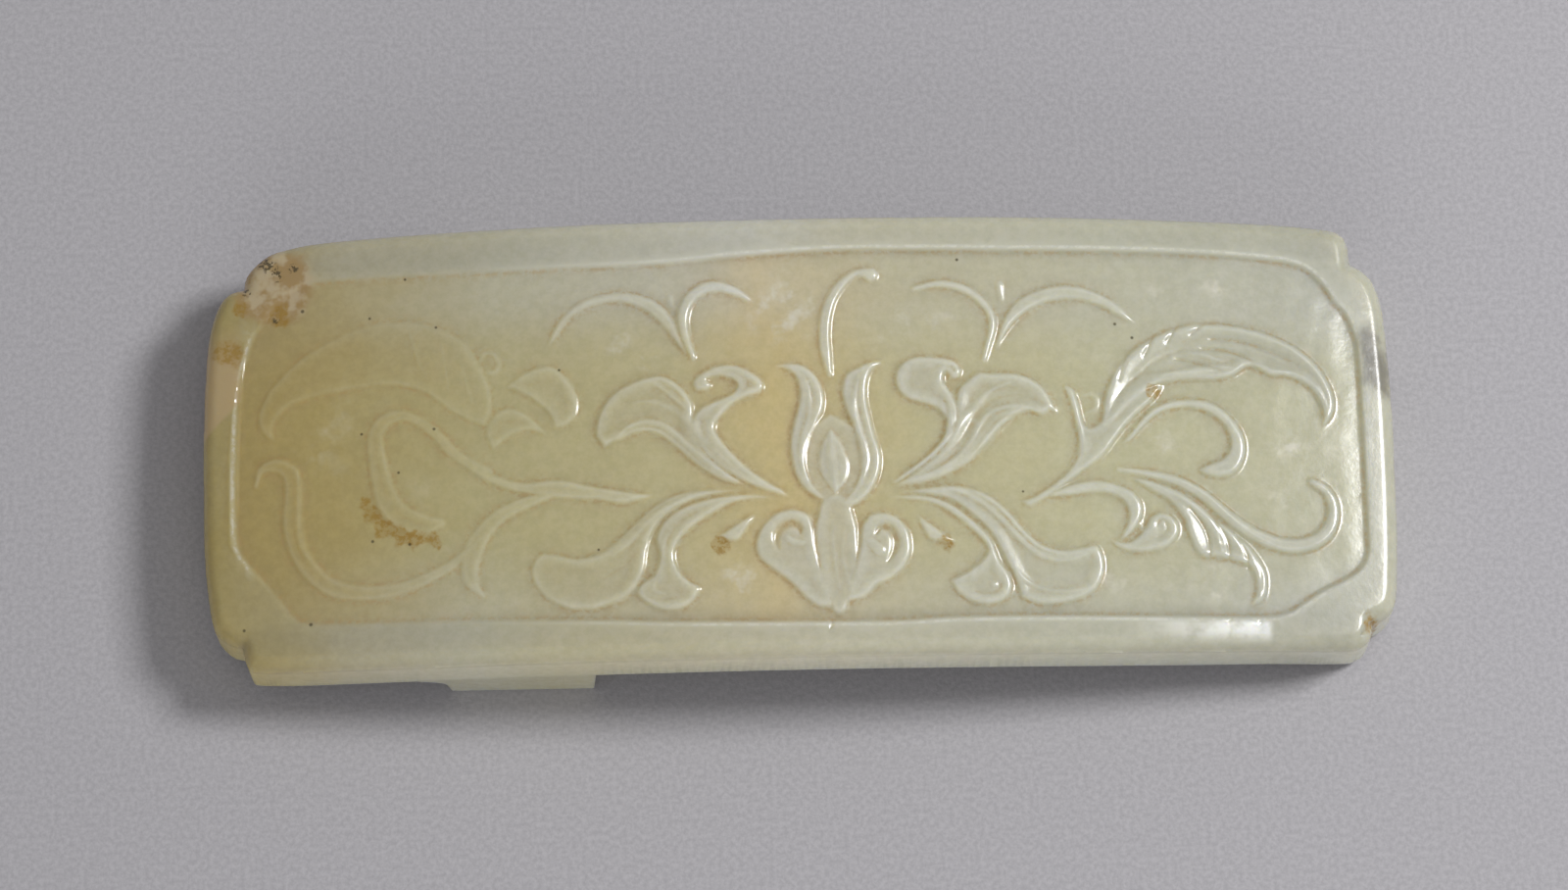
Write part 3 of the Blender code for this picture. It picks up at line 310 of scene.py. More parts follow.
def base_spirals():
    return [
        petal([(2.7, -15.3), (1.2, -15.1), (0.2, -14.4), (-0.5, -13.6), (-1.2, -12.9), (-2.2, -12.1),
               (-3.1, -11.4), (-3.8, -10.5), (-3.9, -9.4), (-3.3, -8.0), (-2.2, -7.0), (-0.9, -6.6),
               (0.2, -6.8), (0.9, -7.3)], [(1.2, -8.4), (1.3, -9.8), (1.7, -11.5), (2.3, -13.4)], 0.68,
              0.25),
        vein([(-1.9, -10.0), (-2.1, -9.2), (-1.7, -8.3), (-0.8, -7.9), (-0.1, -8.3), (-0.1, -8.8)],
             -0.46, 1.1),
        stem([(0.2, -9.6), (-0.6, -9.5), (-1.1, -9.1)], [0.9, 1.1, 1.0], 0.72, 0.0),
        petal([(3.2, -15.3), (4.0, -14.7), (4.9, -14.5), (5.6, -14.1), (6.2, -13.4), (7.4, -12.9),
               (8.5, -11.9), (9.1, -10.8), (9.2, -9.6), (8.9, -8.4), (8.0, -7.4), (6.8, -7.0),
               (5.6, -7.2)], [(4.9, -8.2), (4.7, -9.8), (4.3, -11.5), (3.7, -13.4)], 0.68, 0.25),
        vein([(7.1, -11.4), (7.6, -10.5), (7.8, -9.4), (7.3, -8.5), (6.6, -8.4), (6.2, -9.0)], -0.46,
             1.1),
        stem([(5.8, -9.7), (6.4, -10.3)], [1.3, 1.5], 0.74, 0.0),
        stem([(2.9, -6.8), (2.9, -9.0), (3.0, -11.5), (3.0, -15.0)], [3.0, 3.8, 3.8, 3.4, 1.6], 0.56,
             0.25),
        vein([(2.6, -8.0), (2.7, -11.0), (3.1, -13.6)], 0.12, 0.4),
        vein([(3.6, -8.4), (3.4, -11.0), (4.1, -13.8)], 0.12, 0.4),
        vein([(1.6, -9.4), (1.4, -11.6), (2.0, -13.8)], -0.1, 0.4),
        petal([(-3.5, -6.8), (-5.3, -7.7), (-7.2, -9.0)], [(-5.9, -9.4), (-5.1, -9.3), (-4.3, -8.2)],
              0.6, 0.2),
        petal([(9.5, -7.1), (11.0, -8.2), (13.1, -9.7)], [(11.5, -9.8), (10.5, -9.5), (9.9, -8.4)], 0.6,
              0.2),
    ]


def lower_leaves():
    return [
        petal([(-0.8, -5.9), (-3.5, -5.8), (-5.4, -6.1), (-7.0, -6.9), (-8.6, -7.9), (-9.8, -9.0),
               (-10.4, -10.2), (-10.2, -11.3), (-9.5, -12.3), (-8.2, -13.2)],
              [(-9.0, -14.5), (-10.2, -15.1), (-11.6, -15.1), (-12.9, -14.5), (-13.8, -13.5),
               (-13.4, -12.6), (-12.4, -12.0), (-11.9, -10.4), (-12.2, -9.0), (-11.6, -7.6),
               (-10.2, -6.4), (-7.5, -5.5), (-4.0, -5.3)], 0.66, 0.4),
        vein([(-11.4, -13.6), (-12.3, -13.3), (-12.2, -12.7)], 0.22, 0.7),
        vein([(-10.4, -13.9), (-11.8, -14.2), (-12.9, -13.7)], -0.16, 0.6),
        vein([(-10.6, -8.0), (-11.4, -9.4), (-11.5, -10.9)], 0.16, 0.5),
        petal([(-4.5, -4.9), (-7.5, -4.8), (-10.2, -5.1), (-12.2, -6.1), (-13.8, -7.5), (-15.3, -8.9),
               (-16.8, -9.9), (-18.6, -10.3), (-20.3, -9.9), (-21.6, -9.8), (-22.4, -10.6),
               (-22.5, -11.8), (-21.9, -13.1), (-20.8, -14.1), (-19.2, -14.8), (-17.3, -14.9)],
              [(-15.9, -14.4), (-14.5, -13.9), (-13.5, -12.9), (-12.9, -11.5), (-12.6, -9.6),
               (-11.8, -7.9), (-10.2, -6.5), (-8.0, -5.6)], 0.62, 0.5),
        vein([(-8.5, -5.1), (-10.6, -5.7), (-12.4, -6.8), (-13.9, -8.2), (-15.4, -9.5), (-17.2, -10.4)],
             -0.18, 0.4),
        vein([(-9.0, -5.5), (-11.2, -6.4), (-12.9, -7.8), (-14.2, -9.2), (-15.6, -10.3)], 0.2, 0.5),
        vein([(-11.6, -7.6), (-13.4, -9.8), (-14.8, -11.2), (-16.4, -12.2)], -0.1, 0.8),
        vein([(-14.5, -13.9), (-15.9, -14.3), (-17.3, -14.6)], 0.2, 0.6),
        petal([(6.8, -5.7), (9.0, -6.1), (10.4, -6.3), (11.8, -6.9), (13.0, -7.8), (14.2, -8.9),
               (15.0, -9.7), (15.3, -10.4), (14.8, -11.2), (14.0, -11.9), (13.1, -12.4), (12.1, -12.9)],
              [(12.6, -13.9), (13.6, -14.7), (14.8, -15.1), (16.1, -15.0), (17.1, -14.4), (17.5, -13.4),
               (17.2, -12.3), (16.6, -11.4), (16.2, -10.2), (15.5, -9.0), (14.1, -7.6), (12.2, -6.2),
               (10.0, -5.6)], 0.66, 0.4),
        vein([(14.2, -13.9), (15.4, -14.1), (16.3, -13.8), (16.4, -13.1)], -0.16, 0.6),
        vein([(15.7, -13.5), (16.0, -13.2)], 0.3, 0.9),
        vein([(15.0, -10.6), (14.3, -11.8), (13.9, -13.0)], 0.16, 0.4),
        vein([(15.9, -10.1), (16.4, -11.2), (17.3, -12.4), (17.9, -14.0)], -0.2, 0.5),
        petal([(8.0, -5.3), (12.0, -4.8), (14.2, -5.0), (15.9, -5.8), (17.3, -7.0), (18.6, -8.6),
               (19.9, -9.8), (21.3, -10.3), (23.0, -10.2), (24.5, -9.9), (25.1, -11.0), (25.1, -12.4),
               (24.4, -13.8), (22.9, -14.7), (21.0, -15.1), (19.4, -15.1), (18.0, -14.5)],
              [(17.6, -13.2), (17.1, -12.0), (16.4, -10.5), (15.6, -9.0), (14.2, -7.5), (12.4, -6.2),
               (10.4, -5.7)], 0.64, 0.5),
        vein([(13.6, -5.1), (15.2, -6.0), (16.6, -7.2), (18.0, -8.8), (19.4, -10.2), (21.0, -10.8)],
             -0.26, 0.35),
        vein([(12.4, -5.1), (14.3, -5.9), (16.0, -7.2), (17.4, -8.7), (18.6, -10.0), (19.8, -10.9),
              (21.2, -11.3), (22.6, -11.2), (23.6, -10.8)], 0.22, 0.55),
        vein([(17.2, -11.6), (18.5, -13.0), (20.0, -13.75), (22.0, -13.95), (23.4, -13.7)], 0.18, 0.5),
    ]


def right_scroll():
    return [
        petal([(18.2, -6.2), (19.5, -5.7), (21.0, -4.7), (22.2, -3.6), (23.0, -2.4), (23.2, -1.2),
               (23.0, 0.2), (22.7, 1.8), (22.1, 3.9)],
              [(23.0, 3.6), (23.5, 2.4), (23.8, 0.8), (24.2, 0.2), (25.0, 0.6), (26.4, 2.0), (27.9, 3.1),
               (29.3, 3.7), (30.6, 3.9), (29.9, 2.6), (28.6, 1.4), (27.4, 0.2), (26.4, -1.1),
               (25.3, -2.5), (23.9, -3.6), (22.3, -4.8), (20.6, -6.0), (19.0, -6.8)], 0.56, 0.3),
        vein([(22.4, 3.6), (22.9, 2.3), (23.2, 1.0), (23.4, -0.4), (23.3, -1.8), (22.4, -3.2)], 0.18,
             0.5),
        vein([(23.0, 3.3), (23.8, 2.9), (24.4, 3.1), (24.9, 2.5), (24.8, 1.8), (24.0, 1.4)], 0.16, 0.6),
        petal([(24.8, -0.6), (25.2, 1.0), (25.5, 2.8), (26.2, 4.6), (27.3, 6.2), (29.0, 7.6), (31.1, 8.7),
               (33.4, 9.3), (36.0, 9.3), (38.0, 9.0), (40.0, 8.4), (42.0, 7.4), (43.6, 6.0), (44.6, 4.5),
               (45.1, 2.9), (44.9, 1.4), (43.8, 0.1)],
              [(43.9, 1.4), (43.6, 2.6), (42.9, 3.7), (41.8, 4.4), (40.6, 4.7), (39.5, 4.7), (38.5, 5.35),
               (37.6, 5.35), (36.7, 4.7), (35.3, 4.3), (33.0, 4.2), (31.0, 4.0), (29.3, 3.3), (27.8, 2.1),
               (26.2, 0.5)], 0.66, 0.5),
        vein([(30.5, 4.7), (32.6, 5.0), (34.8, 5.4), (36.4, 5.5)], 0.28, 0.9),
        vein([(38.3, 5.7), (39.1, 5.4), (39.8, 5.1), (41.2, 5.0)], 0.2, 0.7),
        vein([(31.6, 6.2), (33.4, 5.8), (35.4, 5.25)], -0.3, 0.35),
        vein([(32.6, 6.7), (34.2, 6.5), (35.8, 5.9)], 0.16, 0.7),
        vein([(33.8, 7.1), (36.0, 6.9), (37.3, 6.5), (38.2, 6.0)], -0.3, 0.4),
        vein([(36.9, 7.8), (39.0, 7.2), (41.4, 6.1)], -0.22, 0.4),
        vein([(34.6, 7.9), (36.0, 7.9), (37.8, 7.6)], -0.24, 0.35),
        vein([(28.0, 4.2), (30.0, 5.9), (32.4, 7.0)], -0.14, 0.6),
        vein([(26.5, 2.6), (28.2, 4.4), (30.0, 5.0)], -0.12, 0.6),
        vein([(26.8, 4.2), (27.5, 6.3)], -0.4, 0.35),
        vein([(29.0, 6.3), (29.9, 8.0)], -0.4, 0.35),
        vein([(31.0, 7.6), (31.9, 8.9)], -0.4, 0.35),
        vein([(33.0, 8.3), (34.2, 9.2)], -0.35, 0.3),
        petal([(26.0, -1.6), (27.1, -0.9), (27.9, 0.1), (28.7, 1.1), (29.6, 1.9), (31.0, 2.5),
               (32.6, 2.7), (34.1, 2.6), (35.4, 2.0), (36.4, 1.0), (37.2, -0.3), (37.4, -1.6),
               (37.1, -2.9), (36.3, -3.9), (35.1, -4.25), (33.9, -4.1), (33.1, -3.5)],
              [(34.1, -2.9), (35.0, -2.6), (35.7, -1.9), (35.9, -1.0), (35.6, 0.1), (34.9, 0.9),
               (33.9, 1.5), (32.5, 1.8), (31.0, 1.6), (29.8, 1.0), (28.7, 0.0), (27.6, -1.1)], 0.74, 0.1),
        petal([(20.0, -6.0), (21.5, -5.1), (23.0, -4.6), (25.0, -4.4), (26.6, -4.8), (27.8, -5.4),
               (28.5, -6.4), (28.5, -7.4), (28.1, -8.3), (27.3, -9.2), (26.2, -9.8)],
              [(26.7, -8.8), (27.1, -7.8), (27.0, -6.7), (26.2, -5.9), (24.6, -5.6), (22.5, -5.9)], 0.66,
              0.15),
        petal([(25.4, -9.3), (26.3, -10.3), (27.6, -10.7), (29.2, -10.6), (30.6, -10.1), (31.5, -9.0),
               (31.4, -8.0), (30.7, -7.3), (29.8, -7.1)],
              [(29.0, -7.5), (28.5, -8.4), (27.7, -9.3), (26.8, -9.7)], 0.6, 0.35),
        vein([(29.5, -9.4), (30.4, -8.8), (30.4, -8.1), (29.9, -7.8), (29.5, -8.3)], -0.22, 0.5),
        stem([(28.3, -8.7), (28.2, -8.2)], [0.6, 0.6], 0.4),
        stem([(26.5, -3.5), (29.0, -3.9), (31.6, -4.6), (33.8, -5.9), (35.7, -7.6), (37.7, -9.0),
              (40.2, -9.9), (42.4, -9.7), (44.0, -8.5), (44.5, -6.7), (44.0, -5.2), (42.8, -4.4)],
             [0.5, 1.1, 1.2, 1.4, 1.5, 1.4, 1.2, 0.8], 0.6, 0.2),
        vein([(29.0, -3.9), (31.6, -4.5), (33.6, -5.5), (35.5, -7.3), (37.2, -8.8), (39.6, -10.1),
              (41.6, -10.4)], 0.14, 0.45),
        petal([(27.0, -3.9), (30.0, -4.6), (32.3, -5.7), (34.4, -7.5), (36.2, -8.9), (37.6, -10.3),
               (38.6, -12.0), (38.7, -13.6), (38.2, -14.8), (37.1, -15.1)],
              [(37.6, -13.7), (37.4, -12.3), (36.9, -11.7), (35.6, -11.3), (34.4, -11.1), (33.0, -10.9),
               (32.2, -9.4), (31.7, -7.7), (30.6, -6.3), (29.0, -5.3)], 0.64, 0.4),
        vein([(32.4, -6.8), (33.6, -8.6), (34.0, -10.8)], -0.34, 0.4),
        vein([(34.3, -7.6), (35.4, -9.4), (35.6, -11.2)], -0.4, 0.4),
        vein([(36.2, -9.2), (37.0, -10.6), (37.1, -11.8)], -0.4, 0.35),
        vein([(37.2, -10.2), (38.1, -12.0), (38.1, -14.0)], -0.2, 0.3),
        vein([(30.4, -5.4), (32.4, -6.4), (34.0, -8.0), (34.9, -10.4)], 0.14, 0.9),
    ]


def left_scroll():
    return [
        petal([(-11.9, -5.2), (-15.0, -4.6), (-17.5, -4.1), (-20.0, -3.5), (-23.2, -3.6), (-26.0, -2.5),
               (-28.6, -0.6), (-30.6, 1.6)],
              [(-29.6, -0.6), (-27.6, -2.6), (-25.4, -4.0), (-22.6, -4.9), (-18.7, -5.5), (-16.8, -5.6),
               (-14.6, -6.0)], 0.66, 0.25),
        stem([(-19.6, -4.5), (-22.0, -5.2), (-24.8, -6.4), (-26.6, -8.2), (-27.4, -10.0), (-27.4, -12.0),
              (-26.4, -13.3)], [1.0, 1.3, 1.6, 2.0, 1.6, 0.5], 0.6, 0.3),
        stem([(-26.0, -2.8), (-28.5, -1.2), (-30.5, 1.0), (-32.5, 2.4), (-34.3, 2.3), (-35.3, 1.0),
              (-35.2, -1.0), (-34.8, -3.2), (-34.2, -5.0), (-32.9, -6.4), (-31.2, -7.0), (-30.0, -6.9)],
             [1.2, 1.2, 1.1, 1.5, 1.7, 2.0, 2.3, 2.3, 1.2], 0.65, 0.35),
        stem([(-26.6, -8.4), (-29.0, -10.5), (-32.5, -12.1), (-36.0, -12.6), (-39.3, -11.8),
              (-41.4, -9.5), (-42.3, -6.6), (-42.2, -3.6), (-42.6, -1.8), (-43.9, -1.2), (-45.0, -1.6),
              (-45.4, -2.9)], [0.9, 1.2, 1.6, 1.9, 2.0, 1.8, 1.3, 0.6], 0.66, 0.35),
        vein([(-41.9, -1.6), (-41.9, -4.4), (-41.8, -7.6), (-41.0, -9.4), (-40.0, -10.5)], 0.2, 0.35),
        vein([(-41.3, -2.2), (-41.2, -4.6), (-41.3, -7.0), (-40.9, -8.4)], 0.14, 0.3),
        petal([(-26.0, 1.0), (-25.4, 2.8), (-25.9, 5.6), (-27.7, 8.7), (-30.8, 10.5), (-34.4, 10.9),
               (-38.0, 10.1), (-41.6, 8.2), (-44.2, 5.7), (-45.4, 3.2), (-44.9, 1.5), (-43.8, 0.8)],
              [(-43.7, 2.4), (-42.4, 3.8), (-40.0, 4.5), (-37.0, 4.9), (-34.0, 5.1), (-31.2, 4.3),
               (-28.8, 2.4)], 0.5, 0.4),
        vein([(-32.6, 10.3), (-32.2, 9.0), (-31.7, 7.3), (-31.0, 5.6)], 0.22, 0.35),
        vein([(-29.8, 9.0), (-29.6, 7.3), (-29.1, 4.4)], 0.22, 0.35),
        vein([(-28.2, 7.2), (-27.8, 5.6), (-27.2, 3.4)], 0.2, 0.35),
        stem([(-26.6, 6.9), (-26.1, 7.6), (-25.3, 7.5), (-24.9, 6.6), (-25.3, 5.9), (-25.9, 6.0)],
             [0.5, 0.6, 0.7], 0.5),
        petal([(-24.6, 4.6), (-22.6, 6.0), (-20.6, 6.4), (-19.3, 5.4), (-18.5, 4.2), (-18.2, 3.0),
               (-18.4, 1.8), (-19.2, 1.0), (-20.4, 0.7)], [(-21.0, 2.2), (-22.6, 3.6)], 0.56, 0.5),
        petal([(-25.5, -1.0), (-26.2, 0.4), (-26.0, 1.6), (-25.2, 2.5), (-24.2, 2.9), (-22.8, 2.4),
               (-21.5, 1.2), (-20.7, 0.0)], [(-22.0, 0.6), (-23.6, 0.4)], 0.5, 0.5),
    ]


def wear():
    """Nicks in the edges, the chip in a corner and the double fillet along the left edge."""
    return [
        vein([(35.3, -16.4), (35.6, -16.2)], -0.08, 0.7),
        vein([(37.8, -16.7), (38.1, -16.4)], -0.08, 0.8),
        vein([(2.3, -16.9), (2.4, -16.3)], -0.14, 0.6),
        vein([(46.3, -17.4), (46.9, -16.8), (47.5, -16.0)], -0.3, 0.9),
        vein([(-1.0, -16.6), (1.0, -16.8)], -0.06, 0.8),
        vein([(-47.0, 6.5), (-47.4, 3.0), (-47.6, -1.0), (-47.6, -5.0), (-47.5, -8.0), (-46.9, -8.6)],
             0.08, 0.5),
        vein([(-46.4, 9.6), (-46.7, 6.0), (-46.9, 2.0), (-47.0, -2.0), (-47.0, -5.0)], 0.07, 0.5),
    ]


def carving():
    return (
        lotus() + curled_petals() + striated_petals() + forked_sprouts()
        + base_spirals() + lower_leaves() + right_scroll() + left_scroll()
    )


# The carved face
# The arched face with its rounded border, the sunk panel and the carving in it. The ground of
# the panel is slightly wavy from the grinding, and the polish has softened every edge.

PANEL_DEPTH = 0.33
PANEL_BEVEL = 0.35
CARVING_HEIGHT = 0.5
FULL_HEIGHT = 0.6
ARRIS_ROUND = 1.25
POLISH = 0.1
CELL = 0.13
SPARE = 1.0

GROUND_SWELL = 0.06
SWELL_FADE = 0.3
SWELL_SPREAD = 0.9
SWELL_MARGIN = 2.5
RIPPLE_HEIGHT = 0.012
RIPPLE_LENGTH = 5.0
FINE_RIPPLE_HEIGHT = 0.006
FINE_RIPPLE_LENGTH = 2.2
FACE_WAVE_HEIGHT = 0.02
FACE_WAVE_LENGTH = 11.0
FACE_SUNK = 0.03

# The left end is worn, most of all toward the back: this much of the carving is kept along it
KEPT_AT = [-48, -45, -40, -28, -18, -10]
KEPT = [0.55, 0.5, 0.38, 0.4, 0.75, 1.0]
BACK_WEAR = 0.55
BACK_WEAR_FROM = 7
BACK_WEAR_RUN = 7
BACK_WEAR_AT = [-45, -38, -22, -8]
BACK_WEAR_SHARE = [0.3, 1.0, 1.0, 0.0]

PANEL_BACK = [
    (-45.9, 10.0), (-44.6, 12.0), (-43.2, 13.6), (-41.5, 14.7), (-38.0, 14.95), (-25.0, 15.0),
    (-12.0, 15.1), (-5.0, 15.6), (4.0, 16.0), (16.0, 15.9), (28.0, 15.8), (35.0, 15.6), (40.0, 15.25),
    (42.2, 14.9), (43.6, 14.2), (44.8, 12.9), (45.5, 11.6),
]
PANEL_RIGHT = [
    (45.5, 11.6), (46.4, 10.6), (47.05, 9.0), (47.4, 7.0), (47.5, 0.0), (47.5, -8.0), (47.4, -10.6),
    (46.5, -12.1), (45.0, -13.1),
]
PANEL_FRONT = [
    (45.0, -13.1), (43.2, -14.0), (41.5, -15.1), (40.0, -15.9), (36.0, -16.2), (15.0, -16.2), (6.0, -16.5),
    (-10.0, -16.2), (-16.0, -15.9), (-28.0, -15.5), (-40.0, -15.2), (-42.2, -14.6), (-43.1, -13.5),
    (-44.5, -11.7), (-46.0, -9.9),
]
PANEL_LEFT = [(-46.0, -9.9), (-47.1, -8.0), (-47.3, -4.0), (-47.2, 2.0), (-47.0, 6.0), (-45.9, 10.0)]


def waves(x, y, length, seed):
    """A gentle random swell between about -1 and 1, with bumps of about the length given."""
    random = np.random.default_rng(seed)
    swell = np.zeros(x.shape)
    for turn, phase in random.uniform(0, 2 * math.pi, (9, 2)):
        stretch = random.uniform(0.7, 1.4) * 2 * math.pi / length
        swell += np.sin(stretch * (x * math.cos(turn) + y * math.sin(turn)) + phase)
    return swell / 4


def softened(field, spread):
    """The field as a polishing wheel leaves it: averaged over a small spread."""
    reach = math.ceil(2.5 * spread / CELL)
    share = np.exp(-0.5 * (np.arange(-reach, reach + 1) * CELL / spread) ** 2)
    share /= share.sum()
    for axis in (0, 1):
        wide = np.pad(field, [(reach, reach) if a == axis else (0, 0) for a in (0, 1)], mode="edge")
        field = sum(
            weight * np.take(wide, np.arange(i, i + field.shape[axis]), axis=axis)
            for i, weight in enumerate(share)
        )
    return field


panel_edge = closed_outline(PANEL_LEFT, PANEL_BACK, PANEL_RIGHT, PANEL_FRONT)
columns = round((2 * HALF_LENGTH + 2 * SPARE) / CELL)
rows = round((2 * HALF_WIDTH + 2 * SPARE) / CELL)
along = np.linspace(-HALF_LENGTH - SPARE, HALF_LENGTH + SPARE, columns + 1)
across = np.linspace(-HALF_WIDTH - SPARE, HALF_WIDTH + SPARE, rows + 1)
face_x, face_y = np.meshgrid(along, across)
past_panel_edge = depth_inside(panel_edge, face_x, face_y)
in_panel = np.clip(past_panel_edge / PANEL_BEVEL, 0, 1)
raised = carved_height(carving(), face_x.ravel(), face_y.ravel()).reshape(face_x.shape)
back_wear = eased((face_y - BACK_WEAR_FROM) / BACK_WEAR_RUN)
back_wear = back_wear * np.interp(face_x, BACK_WEAR_AT, BACK_WEAR_SHARE)
kept = np.interp(face_x, KEPT_AT, KEPT) * (1 - BACK_WEAR * back_wear)
open_ground = 1 - softened(np.clip(raised / SWELL_FADE, 0, 1), SWELL_SPREAD)
open_ground = open_ground * eased(past_panel_edge / SWELL_MARGIN)
ripples = RIPPLE_HEIGHT * waves(face_x, face_y, RIPPLE_LENGTH, seed=3)
ripples = ripples + FINE_RIPPLE_HEIGHT * waves(face_x, face_y, FINE_RIPPLE_LENGTH, seed=4)
ground = (GROUND_SWELL * open_ground + ripples) * (1 - np.clip(raised / FULL_HEIGHT, 0, 1))
carved = softened((CARVING_HEIGHT * raised + ground - PANEL_DEPTH) * in_panel * kept, POLISH)
face_wave = FACE_WAVE_HEIGHT * waves(face_x, face_y, FACE_WAVE_LENGTH, seed=5)
crown = CROSS_CROWN * (1 - (face_y / HALF_WIDTH) ** 2) + face_wave - FACE_SUNK
nicks = carved_height(wear(), face_x.ravel(), face_y.ravel()).reshape(face_x.shape)
face_z = underside_height(face_x) + EDGE_THICKNESS + crown + carved + nicks
face_z = face_z - rounded(depth_inside(plaque_edge, face_x, face_y), ARRIS_ROUND)


def new_object(name, bm):
    """Puts the bmesh into the scene as an object of that name."""
    mesh = bpy.data.meshes.new(name)
    bm.to_mesh(mesh)
    bm.free()
    thing = bpy.data.objects.new(name, mesh)
    bpy.context.scene.collection.objects.link(thing)
    return thing


def height_sheet(name, heights, skirt_end):
    """A closed block with a sheet of heights as one face and a flat far side at the skirt's end."""
    count_y, count_x = heights.shape
    bm = bmesh.new()
    bmesh.ops.create_grid(bm, x_segments=count_x - 1, y_segments=count_y - 1, size=0.5)
    for vert in bm.verts:
        column = round((vert.co.x + 0.5) * (count_x - 1))
        row = round((vert.co.y + 0.5) * (count_y - 1))
        vert.co.x *= 2 * (HALF_LENGTH + SPARE) * MM
        vert.co.y *= 2 * (HALF_WIDTH + SPARE) * MM
        vert.co.z = heights[row, column] * MM
    skirt = bmesh.ops.extrude_edge_only(bm, edges=[e for e in bm.edges if e.is_boundary])["geom"]
    for vert in [g for g in skirt if isinstance(g, bmesh.types.BMVert)]:
        vert.co.z = skirt_end * MM
    bmesh.ops.holes_fill(bm, edges=[e for e in bm.edges if e.is_boundary], sides=0)
    bmesh.ops.recalc_face_normals(bm, faces=bm.faces)
    return new_object(name, bm)


# The underside and the belt loop
# The back is plain and polished. A flat loop was left standing under the left third, and a way
# for the belt was sawn through behind it, easing out to the underside at both ends.

LOOP_LEFT = -29.7
LOOP_RIGHT = -17.4
LOOP_BAR = 1.8
LOOP_SWEEP = 2.4
FOOT_ROUND = 0.5
SLOT_WIDTH = 28.0
SLOT_HEIGHT = 4.4
SLOT_PAST_LOOP = 4.6
SLOT_RUN_OUT = 8.0
SLOT_CORNER = 1.0
SLOPE_STEPS = 6
UNDER_CELL = 0.34
BLOCK_HEIGHT = 20.0
SHARP_CORNER = math.radians(60)
SHARP_ARRIS = math.radians(62)
FACE_TRIANGLES_KEPT = 0.33
UNDERSIDE_TRIANGLES_KEPT = 0.4

under_x, under_y = np.meshgrid(
    np.linspace(along[0], along[-1], round((along[-1] - along[0]) / UNDER_CELL) + 1),
    np.linspace(across[0], across[-1], round((across[-1] - across[0]) / UNDER_CELL) + 1),
)
from_edge = depth_inside(plaque_edge, under_x, under_y)
spring = LOOP_LEFT - LOOP_SWEEP
drop = underside_height(spring) - LOOP_BAR
sweep = LOOP_BAR + drop * np.sqrt(np.clip(1 - ((under_x - spring) / LOOP_SWEEP) ** 2, 0, 1))
foot = rounded(np.minimum(np.minimum(under_x - LOOP_LEFT, LOOP_RIGHT - under_x), from_edge), FOOT_ROUND)
under_z = np.maximum(underside_height(under_x), 0) + rounded(from_edge, FOOT_ROUND)
under_z = np.where((under_x > spring) & (under_x < LOOP_LEFT), np.minimum(under_z, sweep), under_z)
under_z = np.where((under_x >= LOOP_LEFT) & (under_x <= LOOP_RIGHT), foot, under_z)


def belt_way():
    """The cutter for the belt's way: level past the loop's bar, easing out to the underside."""
    ceiling = LOOP_BAR + SLOT_HEIGHT
    level_left = LOOP_LEFT - SLOT_PAST_LOOP
    level_right = LOOP_RIGHT + SLOT_PAST_LOOP
    far_left = level_left - SLOT_RUN_OUT
    far_right = level_right + SLOT_RUN_OUT
    points = [(far_left, -SPARE)]
    for far, level, order in ((far_left, level_left, 1), (far_right, level_right, -1)):
        start = underside_height(far) - SLOT_CORNER
        slope = []
        for i in range(SLOPE_STEPS + 1):
            t = i / SLOPE_STEPS
            slope.append((far + (level - far) * t, start + (ceiling - start) * eased(t)))
        points += slope[::order]
    points += [(far_right, -SPARE), (LOOP_RIGHT, -SPARE), (LOOP_RIGHT, LOOP_BAR)]
    points += [(LOOP_LEFT, LOOP_BAR), (LOOP_LEFT, -SPARE)]
    bm = bmesh.new()
    side = bm.faces.new([bm.verts.new((x * MM, -SLOT_WIDTH / 2 * MM, z * MM)) for x, z in points])
    pushed = bmesh.ops.extrude_face_region(bm, geom=[side])["geom"]
    pushed = [g for g in pushed if isinstance(g, bmesh.types.BMVert)]
    bmesh.ops.translate(bm, vec=(0, SLOT_WIDTH * MM, 0), verts=pushed)
    bmesh.ops.recalc_face_normals(bm, faces=bm.faces)
    corners = [e for e in bm.edges if e.calc_face_angle() > SHARP_CORNER]
    rounding = SLOT_CORNER * MM
    bmesh.ops.bevel(bm, geom=corners, offset=rounding, segments=3, profile=0.5, affect="EDGES", material=-1)
    return new_object("belt_way", bm)


def outline_block():
    """A tall block with the plaque's outline, which the two sheets are cut to."""
    bm = bmesh.new()
    rim = bm.faces.new([bm.verts.new((x * MM, y * MM, -SPARE * MM)) for x, y in plaque_edge])
    pushed = bmesh.ops.extrude_face_region(bm, geom=[rim])["geom"]
    pushed = [g for g in pushed if isinstance(g, bmesh.types.BMVert)]
    bmesh.ops.translate(bm, vec=(0, 0, BLOCK_HEIGHT * MM), verts=pushed)
    bmesh.ops.recalc_face_normals(bm, faces=bm.faces)
    return new_object("outline", bm)


def keep_modifiers(body):
    """Makes the body's mesh what its modifiers give, and clears them."""
    evaluated = body.evaluated_get(bpy.context.evaluated_depsgraph_get())
    mesh = bpy.data.meshes.new_from_object(evaluated)
    body.modifiers.clear()
    body.data = mesh


def cut(body, tool, operation):
    """Cuts the body with the tool, keeps the result in its mesh, and throws the tool away."""
    modifier = body.modifiers.new(tool.name, "BOOLEAN")
    modifier.object = tool
    modifier.operation = operation
    modifier.solver = "EXACT"
    keep_modifiers(body)
    bpy.data.objects.remove(tool, do_unlink=True)


def simplified(body, share):
    """The body with only a share of its triangles left, fewest where it is flattest."""
    simplify = body.modifiers.new("simplify", "DECIMATE")
    simplify.ratio = share
    keep_modifiers(body)
    return body


